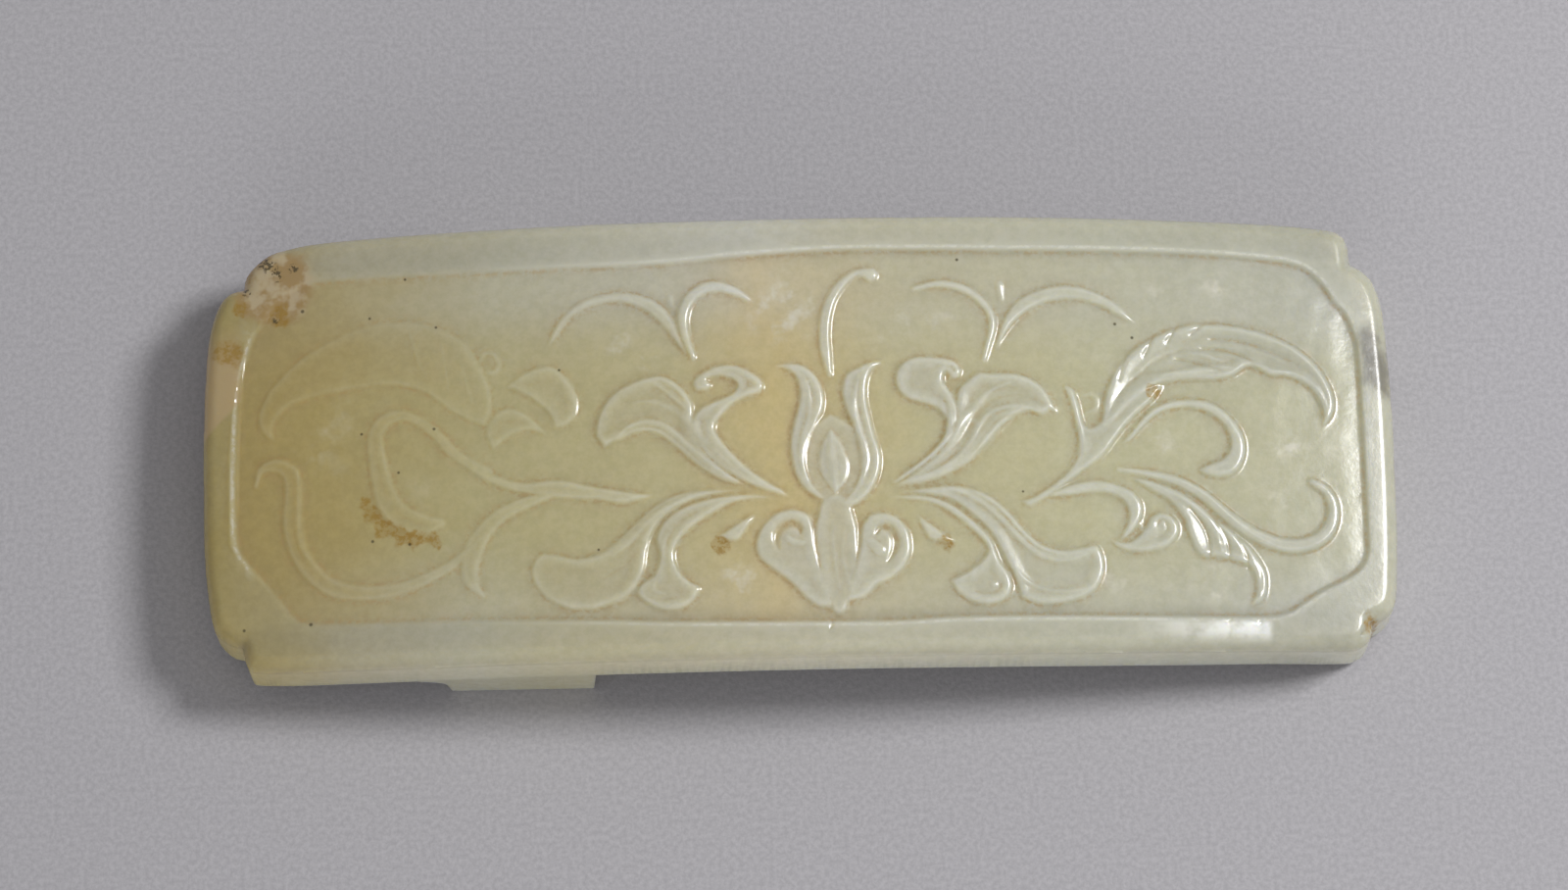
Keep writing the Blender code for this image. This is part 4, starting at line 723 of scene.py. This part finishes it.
plaque = simplified(height_sheet("carved_plaque", face_z, -SPARE), FACE_TRIANGLES_KEPT)
underside = simplified(height_sheet("underside", under_z, BLOCK_HEIGHT), UNDERSIDE_TRIANGLES_KEPT)
cut(plaque, underside, "INTERSECT")
cut(plaque, outline_block(), "INTERSECT")
cut(plaque, belt_way(), "DIFFERENCE")
plaque.data.shade_smooth()
plaque.data.set_sharp_from_angle(angle=SHARP_ARRIS)
flat_sides = plaque.modifiers.new("flat_sides", "WEIGHTED_NORMAL")
flat_sides.keep_sharp = True
keep_modifiers(plaque)


# Jade
# Pale grey-green nephrite, cloudy and translucent: olive at the left end, amber behind the
# lotus. Brown dirt sits in the carving's corners, and the skin of the pebble shows in spots.

PAINT_SPREAD = 0.2
FACE_SKIN = 0.3
CREASE_SPREAD = 0.3
CREASE_DEPTH = 0.08
RIM_HEIGHT = 0.06
FILLET_OUT = 0.1
FILLET_WIDTH = 0.16

GROUND_COLOURS = [
    (0.0, (0.43, 0.34, 0.15)), (0.12, (0.46, 0.38, 0.18)), (0.24, (0.51, 0.47, 0.30)),
    (0.38, (0.55, 0.51, 0.35)), (0.48, (0.62, 0.53, 0.32)), (0.6, (0.57, 0.54, 0.39)),
    (0.78, (0.55, 0.54, 0.42)), (0.95, (0.50, 0.50, 0.42)),
]
RELIEF_COLOURS = [
    (0.0, (0.42, 0.34, 0.13)), (0.1, (0.46, 0.41, 0.25)), (0.24, (0.51, 0.48, 0.33)),
    (0.36, (0.56, 0.53, 0.38)), (0.5, (0.60, 0.58, 0.46)), (0.75, (0.56, 0.56, 0.46)),
    (0.95, (0.48, 0.48, 0.40)),
]
WARM_TINT = (1.02, 1.0, 0.86, 1)
GREY_TINT = (1.04, 1.08, 1.25, 1)
BORDER_TINT = (0.92, 0.92, 0.92, 1)
PAINTED_GLOW_TINT = (1.42, 1.42, 1.42, 1)
STREAK_TINT = (0.90, 0.90, 0.87, 1)
PALE_FLECK_AND_GLINT = (0.70, 0.68, 0.58, 1)
DIRT_BROWN = (0.46, 0.31, 0.13, 1)
RIM_HIGHLIGHT_PAINT = (0.80, 0.80, 0.72, 1)
FILLET_HIGHLIGHT_PAINT = (0.82, 0.82, 0.74, 1)
SKIN_BROWN = (0.38, 0.26, 0.11, 1)
SKIN_PALE = (0.51, 0.42, 0.27, 1)
SKIN_ROSY = (0.50, 0.38, 0.21, 1)
STAIN_BROWN = (0.36, 0.22, 0.03, 1)
BLACK_DIRT = (0.08, 0.06, 0.025, 1)
SMUDGE_GREY = (0.15, 0.14, 0.12, 1)
PAINTED_HIGHLIGHT_WHITE = (0.92, 0.93, 0.90, 1)

GLINT_SPOTS = [
    (-1.0, 10.5, 4.5), (8.5, 9.0, 2.6), (12.0, 9.0, 2.2), (-5.0, -12.8, 2.8), (-15.0, 8.0, 1.6),
    (-12.5, 7.0, 1.6), (30.5, 11.5, 2.0), (35.0, 12.8, 2.0), (40.8, -1.4, 2.4), (42.8, -4.3, 1.4),
    (26.0, -12.5, 2.6), (31.5, -12.2, 2.4), (30.0, -1.5, 2.2), (40.5, -6.8, 2.8), (34.8, -13.2, 2.6),
    (-24.5, 6.6, 1.4),
]
BROWN_SPOTS = [
    (-43.4, 11.8, 1.3), (-47.9, 8.9, 1.7), (-46.6, 12.6, 0.9), (-36.2, -5.0, 0.8), (-35.6, -6.0, 1.0),
    (-34.6, -7.0, 1.1), (-33.4, -7.8, 1.1), (-32.0, -8.3, 1.1), (-30.6, -8.4, 0.9), (-6.5, -9.6, 1.0),
    (12.0, -9.9, 1.0), (47.2, -16.2, 1.0), (29.7, 3.0, 0.8),
]
BLACK_CRUMBS = [
    (-44.8, 16.8, 0.9), (-44.2, 16.2, 0.9), (-43.6, 15.4, 0.7), (-42.3, 16.1, 0.6), (-46.3, 14.2, 0.5),
    (-43.8, 11.6, 0.5),
]
BLACK_SPECKS = [
    (-41.5, 12.2, 0.255), (-40.8, -15.0, 0.255), (-46.4, -15.2, 0.2125), (-35.6, -8.2, 0.2125),
    (-32.5, -8.6, 0.2125), (-33.4, -2.4, 0.187), (-30.4, 1.2, 0.2125), (-36.5, 1.1, 0.187),
    (-35.8, 11.2, 0.187), (-30.2, 10.1, 0.187), (-32.8, 14.5, 0.187), (13.6, 14.9, 0.2125),
    (26.7, 9.2, 0.2125), (28.1, 8.0, 0.2125), (18.5, -5.4, 0.17), (-19.9, 5.9, 0.187), (-16.8, -9.7, 0.17),
]
SMUDGES = [(48.0, 8.0, 2.4), (48.8, 5.2, 2.6)]


def sampled(field, points):
    """A field on the face's grid, read at points in metres."""
    column = np.clip((points[:, 0] / MM - along[0]) / (along[1] - along[0]), 0, len(along) - 1.001)
    row = np.clip((points[:, 1] / MM - across[0]) / (across[1] - across[0]), 0, len(across) - 1.001)
    left = column.astype(int)
    low = row.astype(int)
    u = column - left
    v = row - low
    return (
        field[low, left] * (1 - u) * (1 - v) + field[low, left + 1] * u * (1 - v)
        + field[low + 1, left] * (1 - u) * v + field[low + 1, left + 1] * u * v
    )


points = np.array([v.co for v in plaque.data.vertices])
on_face = points[:, 2] > (sampled(face_z, points) - FACE_SKIN) * MM
standing = CARVING_HEIGHT * raised - PANEL_DEPTH * in_panel
painted = {
    "border": (softened(1 - in_panel, PAINT_SPREAD), 1.0),
    "relief": (softened(np.clip(raised / FULL_HEIGHT, 0, 1), PAINT_SPREAD), 0.0),
    "crease": (np.clip((softened(standing, CREASE_SPREAD) - standing) / CREASE_DEPTH, 0, 1), 0.0),
    # The rim mask marks where a highlight is painted on the carving's rims
    "rim": (np.clip((carved - softened(carved, CREASE_SPREAD)) / RIM_HEIGHT, 0, 1) * in_panel, 0.0),
    # The fillet mask marks where a highlight is painted along the panel's edge
    "fillet": (np.exp(-((past_panel_edge + FILLET_OUT) / FILLET_WIDTH) ** 2), 0.0),
}
for name, (field, elsewhere) in painted.items():
    values = np.where(on_face, sampled(field, points), elsewhere)
    layer = plaque.data.attributes.new(name, "FLOAT", "POINT")
    layer.data.foreach_set("value", values.astype(np.float32))


class Wire:
    """A node's output that can be used in sums: each sum adds its Math node."""

    def __init__(self, finish, socket):
        self.finish = finish
        self.socket = socket

    def sum(self, operation, first, second):
        return self.finish.node("ShaderNodeMath", {"operation": operation}, {0: first, 1: second})

    def __add__(self, other):
        return self.sum("ADD", self, other)

    def __radd__(self, other):
        return self.sum("ADD", other, self)

    def __sub__(self, other):
        return self.sum("SUBTRACT", self, other)

    def __rsub__(self, other):
        return self.sum("SUBTRACT", other, self)

    def __mul__(self, other):
        return self.sum("MULTIPLY", self, other)

    def __rmul__(self, other):
        return self.sum("MULTIPLY", other, self)

    def __truediv__(self, other):
        return self.sum("DIVIDE", self, other)

    def __pow__(self, other):
        return self.sum("POWER", self, other)


class Finish:
    """A material being mixed: its nodes, its Principled shader and the place on the piece."""

    def __init__(self, name):
        self.material = bpy.data.materials.new(name)
        self.material.use_nodes = True
        self.tree = self.material.node_tree
        self.shader = self.tree.nodes["Principled BSDF"]
        self.place = self.node("ShaderNodeTexCoord", {}, {}, "Object")

    def node(self, kind, settings, inputs, output=0):
        """Adds a node, makes its settings, fills its sockets, and gives one of its outputs."""
        added = self.tree.nodes.new(kind)
        for key, value in settings.items():
            if key == "stops":
                while len(added.color_ramp.elements) < len(value):
                    added.color_ramp.elements.new(0.5)
                for element, (position, colour) in zip(added.color_ramp.elements, value):
                    element.position = position
                    element.color = (*colour, 1)
            else:
                setattr(added, key, value)
        for key, value in inputs.items():
            self.feed(added.inputs[key], value)
        return Wire(self, added.outputs[output])

    def feed(self, socket, value):
        if isinstance(value, Wire):
            self.tree.links.new(value.socket, socket)
        else:
            socket.default_value = value

    def limit(self, value, low, high):
        """0 below low, 1 above high, and eased between them."""
        inputs = {"Value": value, "From Min": low, "From Max": high}
        return self.node("ShaderNodeMapRange", {"interpolation_type": "SMOOTHSTEP"}, inputs)

    def noise(self, size, detail, roughness, distortion=0.0):
        """A cloudy pattern between 0 and 1, with clouds of about the size in millimetres."""
        inputs = {
            "Vector": self.place, "Scale": 1 / (size * MM), "Detail": detail,
            "Roughness": roughness, "Distortion": distortion,
        }
        return self.node("ShaderNodeTexNoise", {}, inputs, "Fac")

    def mix(self, factor, first, second, blend="MIX"):
        """The first colour at 0 and the second at 1, or their product with MULTIPLY."""
        inputs = {"Factor": factor, 6: first, 7: second}
        return self.node("ShaderNodeMix", {"data_type": "RGBA", "blend_type": blend}, inputs, 2)

    def stirred(self, reach):
        """The place shifted at random by up to the reach in millimetres, so spots turn ragged."""
        inputs = {"Vector": self.place, "Scale": 1 / (0.8 * reach * MM), "Detail": 3.0, "Roughness": 0.6}
        noise = self.node("ShaderNodeTexNoise", {}, inputs, "Color")
        centring = {0: noise, 1: (0.5, 0.5, 0.5)}
        centred = self.node("ShaderNodeVectorMath", {"operation": "SUBTRACT"}, centring)
        moved = {0: centred, 1: (reach * MM, reach * MM, 0), 2: self.place}
        return self.node("ShaderNodeVectorMath", {"operation": "MULTIPLY_ADD"}, moved)

    def attribute(self, name):
        """A value that is stored on the piece's points."""
        return self.node("ShaderNodeAttribute", {"attribute_name": name}, {}, "Fac")

    def near(self, x, y, reach, place=None):
        """1 at a spot on the face given in millimetres, falling to 0 at its reach."""
        flattening = {0: place or self.place, 1: (1, 1, 0)}
        flat = self.node("ShaderNodeVectorMath", {"operation": "MULTIPLY"}, flattening)
        inputs = {0: flat, 1: (x * MM, y * MM, 0)}
        away = self.node("ShaderNodeVectorMath", {"operation": "DISTANCE"}, inputs, "Value")
        return 1 - self.limit(away, 0.25 * reach * MM, reach * MM)

    def spots(self, spots, place=None):
        """All the spots of a list together, each given by its middle and its reach."""
        total = 0
        for x, y, reach in spots:
            total = total + self.near(x, y, reach, place)
        return total


jade = Finish("jade")
axes = jade.tree.nodes.new("ShaderNodeSeparateXYZ")
jade.feed(axes.inputs[0], jade.place)
x_place = Wire(jade, axes.outputs[0]) / MM
y_place = Wire(jade, axes.outputs[1]) / MM
z_place = Wire(jade, axes.outputs[2]) / MM

cloud = jade.noise(14, 3, 0.55, 0.4)
mottle = jade.noise(2.2, 3, 0.6)
grains = jade.noise(0.45, 2, 0.6)
from_left = x_place / (2 * HALF_LENGTH) + 0.5 + 0.14 * (cloud - 0.5)
ground_colour = jade.node("ShaderNodeValToRGB", {"stops": GROUND_COLOURS}, {"Fac": from_left}, "Color")
relief_colour = jade.node("ShaderNodeValToRGB", {"stops": RELIEF_COLOURS}, {"Fac": from_left}, "Color")
off_middle = (y_place + 2) / 14
warm = 1 - jade.limit(off_middle * off_middle, 0.1, 0.9)
ground_colour = jade.mix(warm, ground_colour, WARM_TINT, "MULTIPLY")
relief = jade.attribute("relief") * (0.1 + 0.9 * jade.limit(x_place, -30, -6))
colour = jade.mix(relief, ground_colour, relief_colour)
colour = jade.mix(jade.attribute("border"), colour, relief_colour)

# It is greyer along the back and darker in the border, and its sides are painted paler, a painted glow for
# light coming through the stone
grey = jade.limit(y_place, 8, 13) * (1 - jade.limit(x_place, -8, 6))
grey = grey + (1 - jade.limit(y_place, -12, -6)) * (1 - jade.limit(x_place, -30, -20))
grey = grey * jade.limit(x_place, -44, -37)
colour = jade.mix(grey, colour, GREY_TINT, "MULTIPLY")
off_middle_squared = y_place * y_place
colour = jade.mix(jade.limit(off_middle_squared, 215, 250), colour, BORDER_TINT, "MULTIPLY")
below_face = underside_height(x_place) + EDGE_THICKNESS - z_place
painted_glow = jade.limit(below_face, 0.5, 1.9) * (1 - 0.75 * jade.limit(below_face, 4.8, 6.0))
colour = jade.mix(painted_glow, colour, PAINTED_GLOW_TINT, "MULTIPLY")
streaks = jade.noise(0.8, 4, 0.7)
colour = jade.mix(jade.limit(streaks, 0.3, 0.7), colour, STREAK_TINT, "MULTIPLY")

# Cloudy white flecks lie deeper in the stone, and white glints are painted at the listed spots, thickest on
# the right and behind the lotus
stirred = jade.stirred(2.4)
pale_and_glints = 0.55 * jade.limit(cloud, 0.5, 0.75) + jade.spots(GLINT_SPOTS, stirred)
pale_and_glints = pale_and_glints * jade.limit(mottle, 0.42, 0.72)
colour = jade.mix(jade.limit(pale_and_glints, 0.0, 1.6), colour, PALE_FLECK_AND_GLINT)

# Brown dirt sits at the feet of the carving, and more of it in grains
patchy = jade.limit(jade.noise(3.5, 3, 0.6), 0.3, 0.55)
dirt = jade.attribute("crease") * patchy * jade.limit(grains, 0.4, 0.6)
colour = jade.mix(0.45 * dirt, colour, DIRT_BROWN)
# A highlight is painted along the rims of the carving
colour = jade.mix(0.12 * jade.attribute("rim"), colour, RIM_HIGHLIGHT_PAINT)
# A highlight is painted along the panel's edge, left off where the left end is worn
unworn = jade.limit(x_place, -32, -2) + (1 - jade.limit(x_place, -46.4, -45.2))
fillet = jade.attribute("fillet") * unworn * (0.35 + 0.65 * jade.limit(streaks, 0.42, 0.58))
colour = jade.mix(0.5 * fillet, colour, FILLET_HIGHLIGHT_PAINT)

# The pebble's skin is left in the back corner and down the left border, pinkish and broken
corner = jade.limit(jade.near(-43.9, 14.6, 4.6, stirred), 0.0, 0.6)
skin = jade.mix(jade.limit(mottle, 0.46, 0.62), SKIN_BROWN, SKIN_PALE)
colour = jade.mix(0.9 * corner, colour, skin)
skin_edge = jade.limit(y_place - x_place, 51.0, 51.6)
left_skin = skin_edge * (1 - jade.limit(x_place, -47.2, -46.4))
left_skin = left_skin * (1 - jade.limit(y_place, 8, 12))
colour = jade.mix(0.8 * left_skin, colour, SKIN_ROSY)
stain = jade.limit(jade.spots(BROWN_SPOTS, stirred), 0.0, 0.8)
stain = stain * (0.45 + 0.55 * jade.limit(grains, 0.4, 0.6))
colour = jade.mix(0.8 * stain, colour, STAIN_BROWN)

# Black crumbs sit in the chipped corner, single specks over the face, a smudge at the right end
crumbled = jade.stirred(0.6)
broken = jade.limit(jade.noise(0.35, 2, 0.6), 0.45, 0.55)
black = jade.spots(BLACK_CRUMBS, crumbled) * broken + 0.7 * jade.spots(BLACK_SPECKS)
colour = jade.mix(0.85 * jade.limit(black, 0.0, 0.8), colour, BLACK_DIRT)
smudge = jade.limit(jade.spots(SMUDGES, stirred), 0.0, 1.2) * jade.limit(x_place, 46.9, 48.0)
colour = jade.mix(0.8 * smudge, colour, SMUDGE_GREY)

# A highlight is painted on the front border, brightest to the right, where it ends in a sharp edge
painted_highlight = jade.limit(x_place, 25, 37) * (1 - jade.limit(x_place, 38.4, 39.1))
painted_highlight = painted_highlight * (1 - jade.limit(y_place, -16.7, -16.2))
painted_highlight = painted_highlight * jade.limit(y_place, -18.5, -17.0)
colour = jade.mix(0.85 * painted_highlight * jade.limit(mottle, 0.2, 0.6), colour, PAINTED_HIGHLIGHT_WHITE)

jade.feed(jade.shader.inputs["Base Color"], colour)
jade.feed(jade.shader.inputs["Roughness"], 0.19 + 0.08 * mottle)
jade.shader.inputs["Specular IOR Level"].default_value = 0.5
jade.shader.inputs["IOR"].default_value = 1.61
jade.shader.inputs["Subsurface Weight"].default_value = 1.0
jade.shader.inputs["Subsurface Radius"].default_value = (1.0, 0.85, 0.5)
jade.shader.inputs["Subsurface Scale"].default_value = 4.0 * MM
pits = {"Strength": 0.3, "Distance": 0.04 * MM, "Height": jade.noise(0.5, 3, 0.6)}
jade.feed(jade.shader.inputs["Normal"], jade.node("ShaderNodeBump", {}, pits, "Normal"))
plaque.data.materials.clear()
plaque.data.materials.append(jade.material)

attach(plaque, "root")
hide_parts("jade_plaque")


# The paper
# Heavy grey paper with a faint mauve cast lies flat under the buckle. It is pressed fibre, so
# it has a fine, soft tooth.

FLOOR_SIZE = 1.2
PAPER_DARK = (0.385, 0.375, 0.392, 1)
PAPER_PALE = (0.465, 0.453, 0.472, 1)

bm = bmesh.new()
bmesh.ops.create_grid(bm, x_segments=2, y_segments=2, size=FLOOR_SIZE / 2)
floor = new_object("paper", bm)
paper = Finish("paper")
tooth = paper.noise(0.42, 4, 0.65)
paper_colour = paper.mix(paper.limit(tooth, 0.3, 0.7), PAPER_DARK, PAPER_PALE)
paper.feed(paper.shader.inputs["Base Color"], paper_colour)
paper.shader.inputs["Roughness"].default_value = 0.9
paper.shader.inputs["Specular IOR Level"].default_value = 0.2
press = paper.node("ShaderNodeBump", {}, {"Strength": 0.3, "Distance": 0.15 * MM, "Height": tooth}, "Normal")
paper.feed(paper.shader.inputs["Normal"], press)
floor.data.materials.append(paper.material)


# Light and camera
# A soft box stands high on the right and a little behind, a white card low in front, and pale
# walls fill the shadows. The camera looks down steeply from the front through a long lens.

KEY_FROM = Vector((0.66, 0.2, 0.72)).normalized()
KEY_DISTANCE = 0.7
KEY_SIZE = 0.18
KEY_POWER = 3.6
CARD_FROM = Vector((-0.1, -0.96, 0.24)).normalized()
CARD_DISTANCE = 0.6
CARD_SIZE = 0.5
CARD_POWER = 1.6
WALL_LIGHT = 0.31
WALL_COLOUR = (0.97, 0.97, 1.0, 1)


def area_light(name, toward, distance, size, power):
    """A square light that hangs out toward some side and faces the buckle."""
    light = bpy.data.objects.new(name, bpy.data.lights.new(name, "AREA"))
    light.data.shape = "SQUARE"
    light.data.size = size
    light.data.energy = power
    light.location = toward * distance
    light.rotation_euler = toward.to_track_quat("Z", "Y").to_euler()
    bpy.context.scene.collection.objects.link(light)
    return light


area_light("softbox", KEY_FROM, KEY_DISTANCE, KEY_SIZE, KEY_POWER)
card = area_light("card", CARD_FROM, CARD_DISTANCE, CARD_SIZE, CARD_POWER)
card.visible_glossy = False

world = bpy.data.worlds.new("walls")
world.use_nodes = True
walls = world.node_tree.nodes["Background"]
walls.inputs["Color"].default_value = WALL_COLOUR
walls.inputs["Strength"].default_value = WALL_LIGHT
bpy.context.scene.world = world
bpy.context.scene.view_settings.view_transform = "Standard"

CAMERA_TARGET = Vector((-1.26, 0.13, 6.6)) * MM
CAMERA_HEIGHT = math.radians(74)
CAMERA_DISTANCE = 0.5
CAMERA_ROLL = 0.0231
CAMERA_LENS = 136.83
SENSOR_WIDTH = 36
NEAREST_SEEN = 0.01

camera = bpy.data.objects.new("camera", bpy.data.cameras.new("camera"))
camera.data.sensor_width = SENSOR_WIDTH
camera.data.lens = CAMERA_LENS
camera.data.clip_start = NEAREST_SEEN
toward_camera = Vector((0, -math.cos(CAMERA_HEIGHT), math.sin(CAMERA_HEIGHT)))
look = Matrix.Rotation(math.pi / 2 - CAMERA_HEIGHT, 4, "X") @ Matrix.Rotation(-CAMERA_ROLL, 4, "Z")
camera.matrix_world = Matrix.Translation(CAMERA_TARGET + CAMERA_DISTANCE * toward_camera) @ look
bpy.context.scene.collection.objects.link(camera)
bpy.context.scene.camera = camera
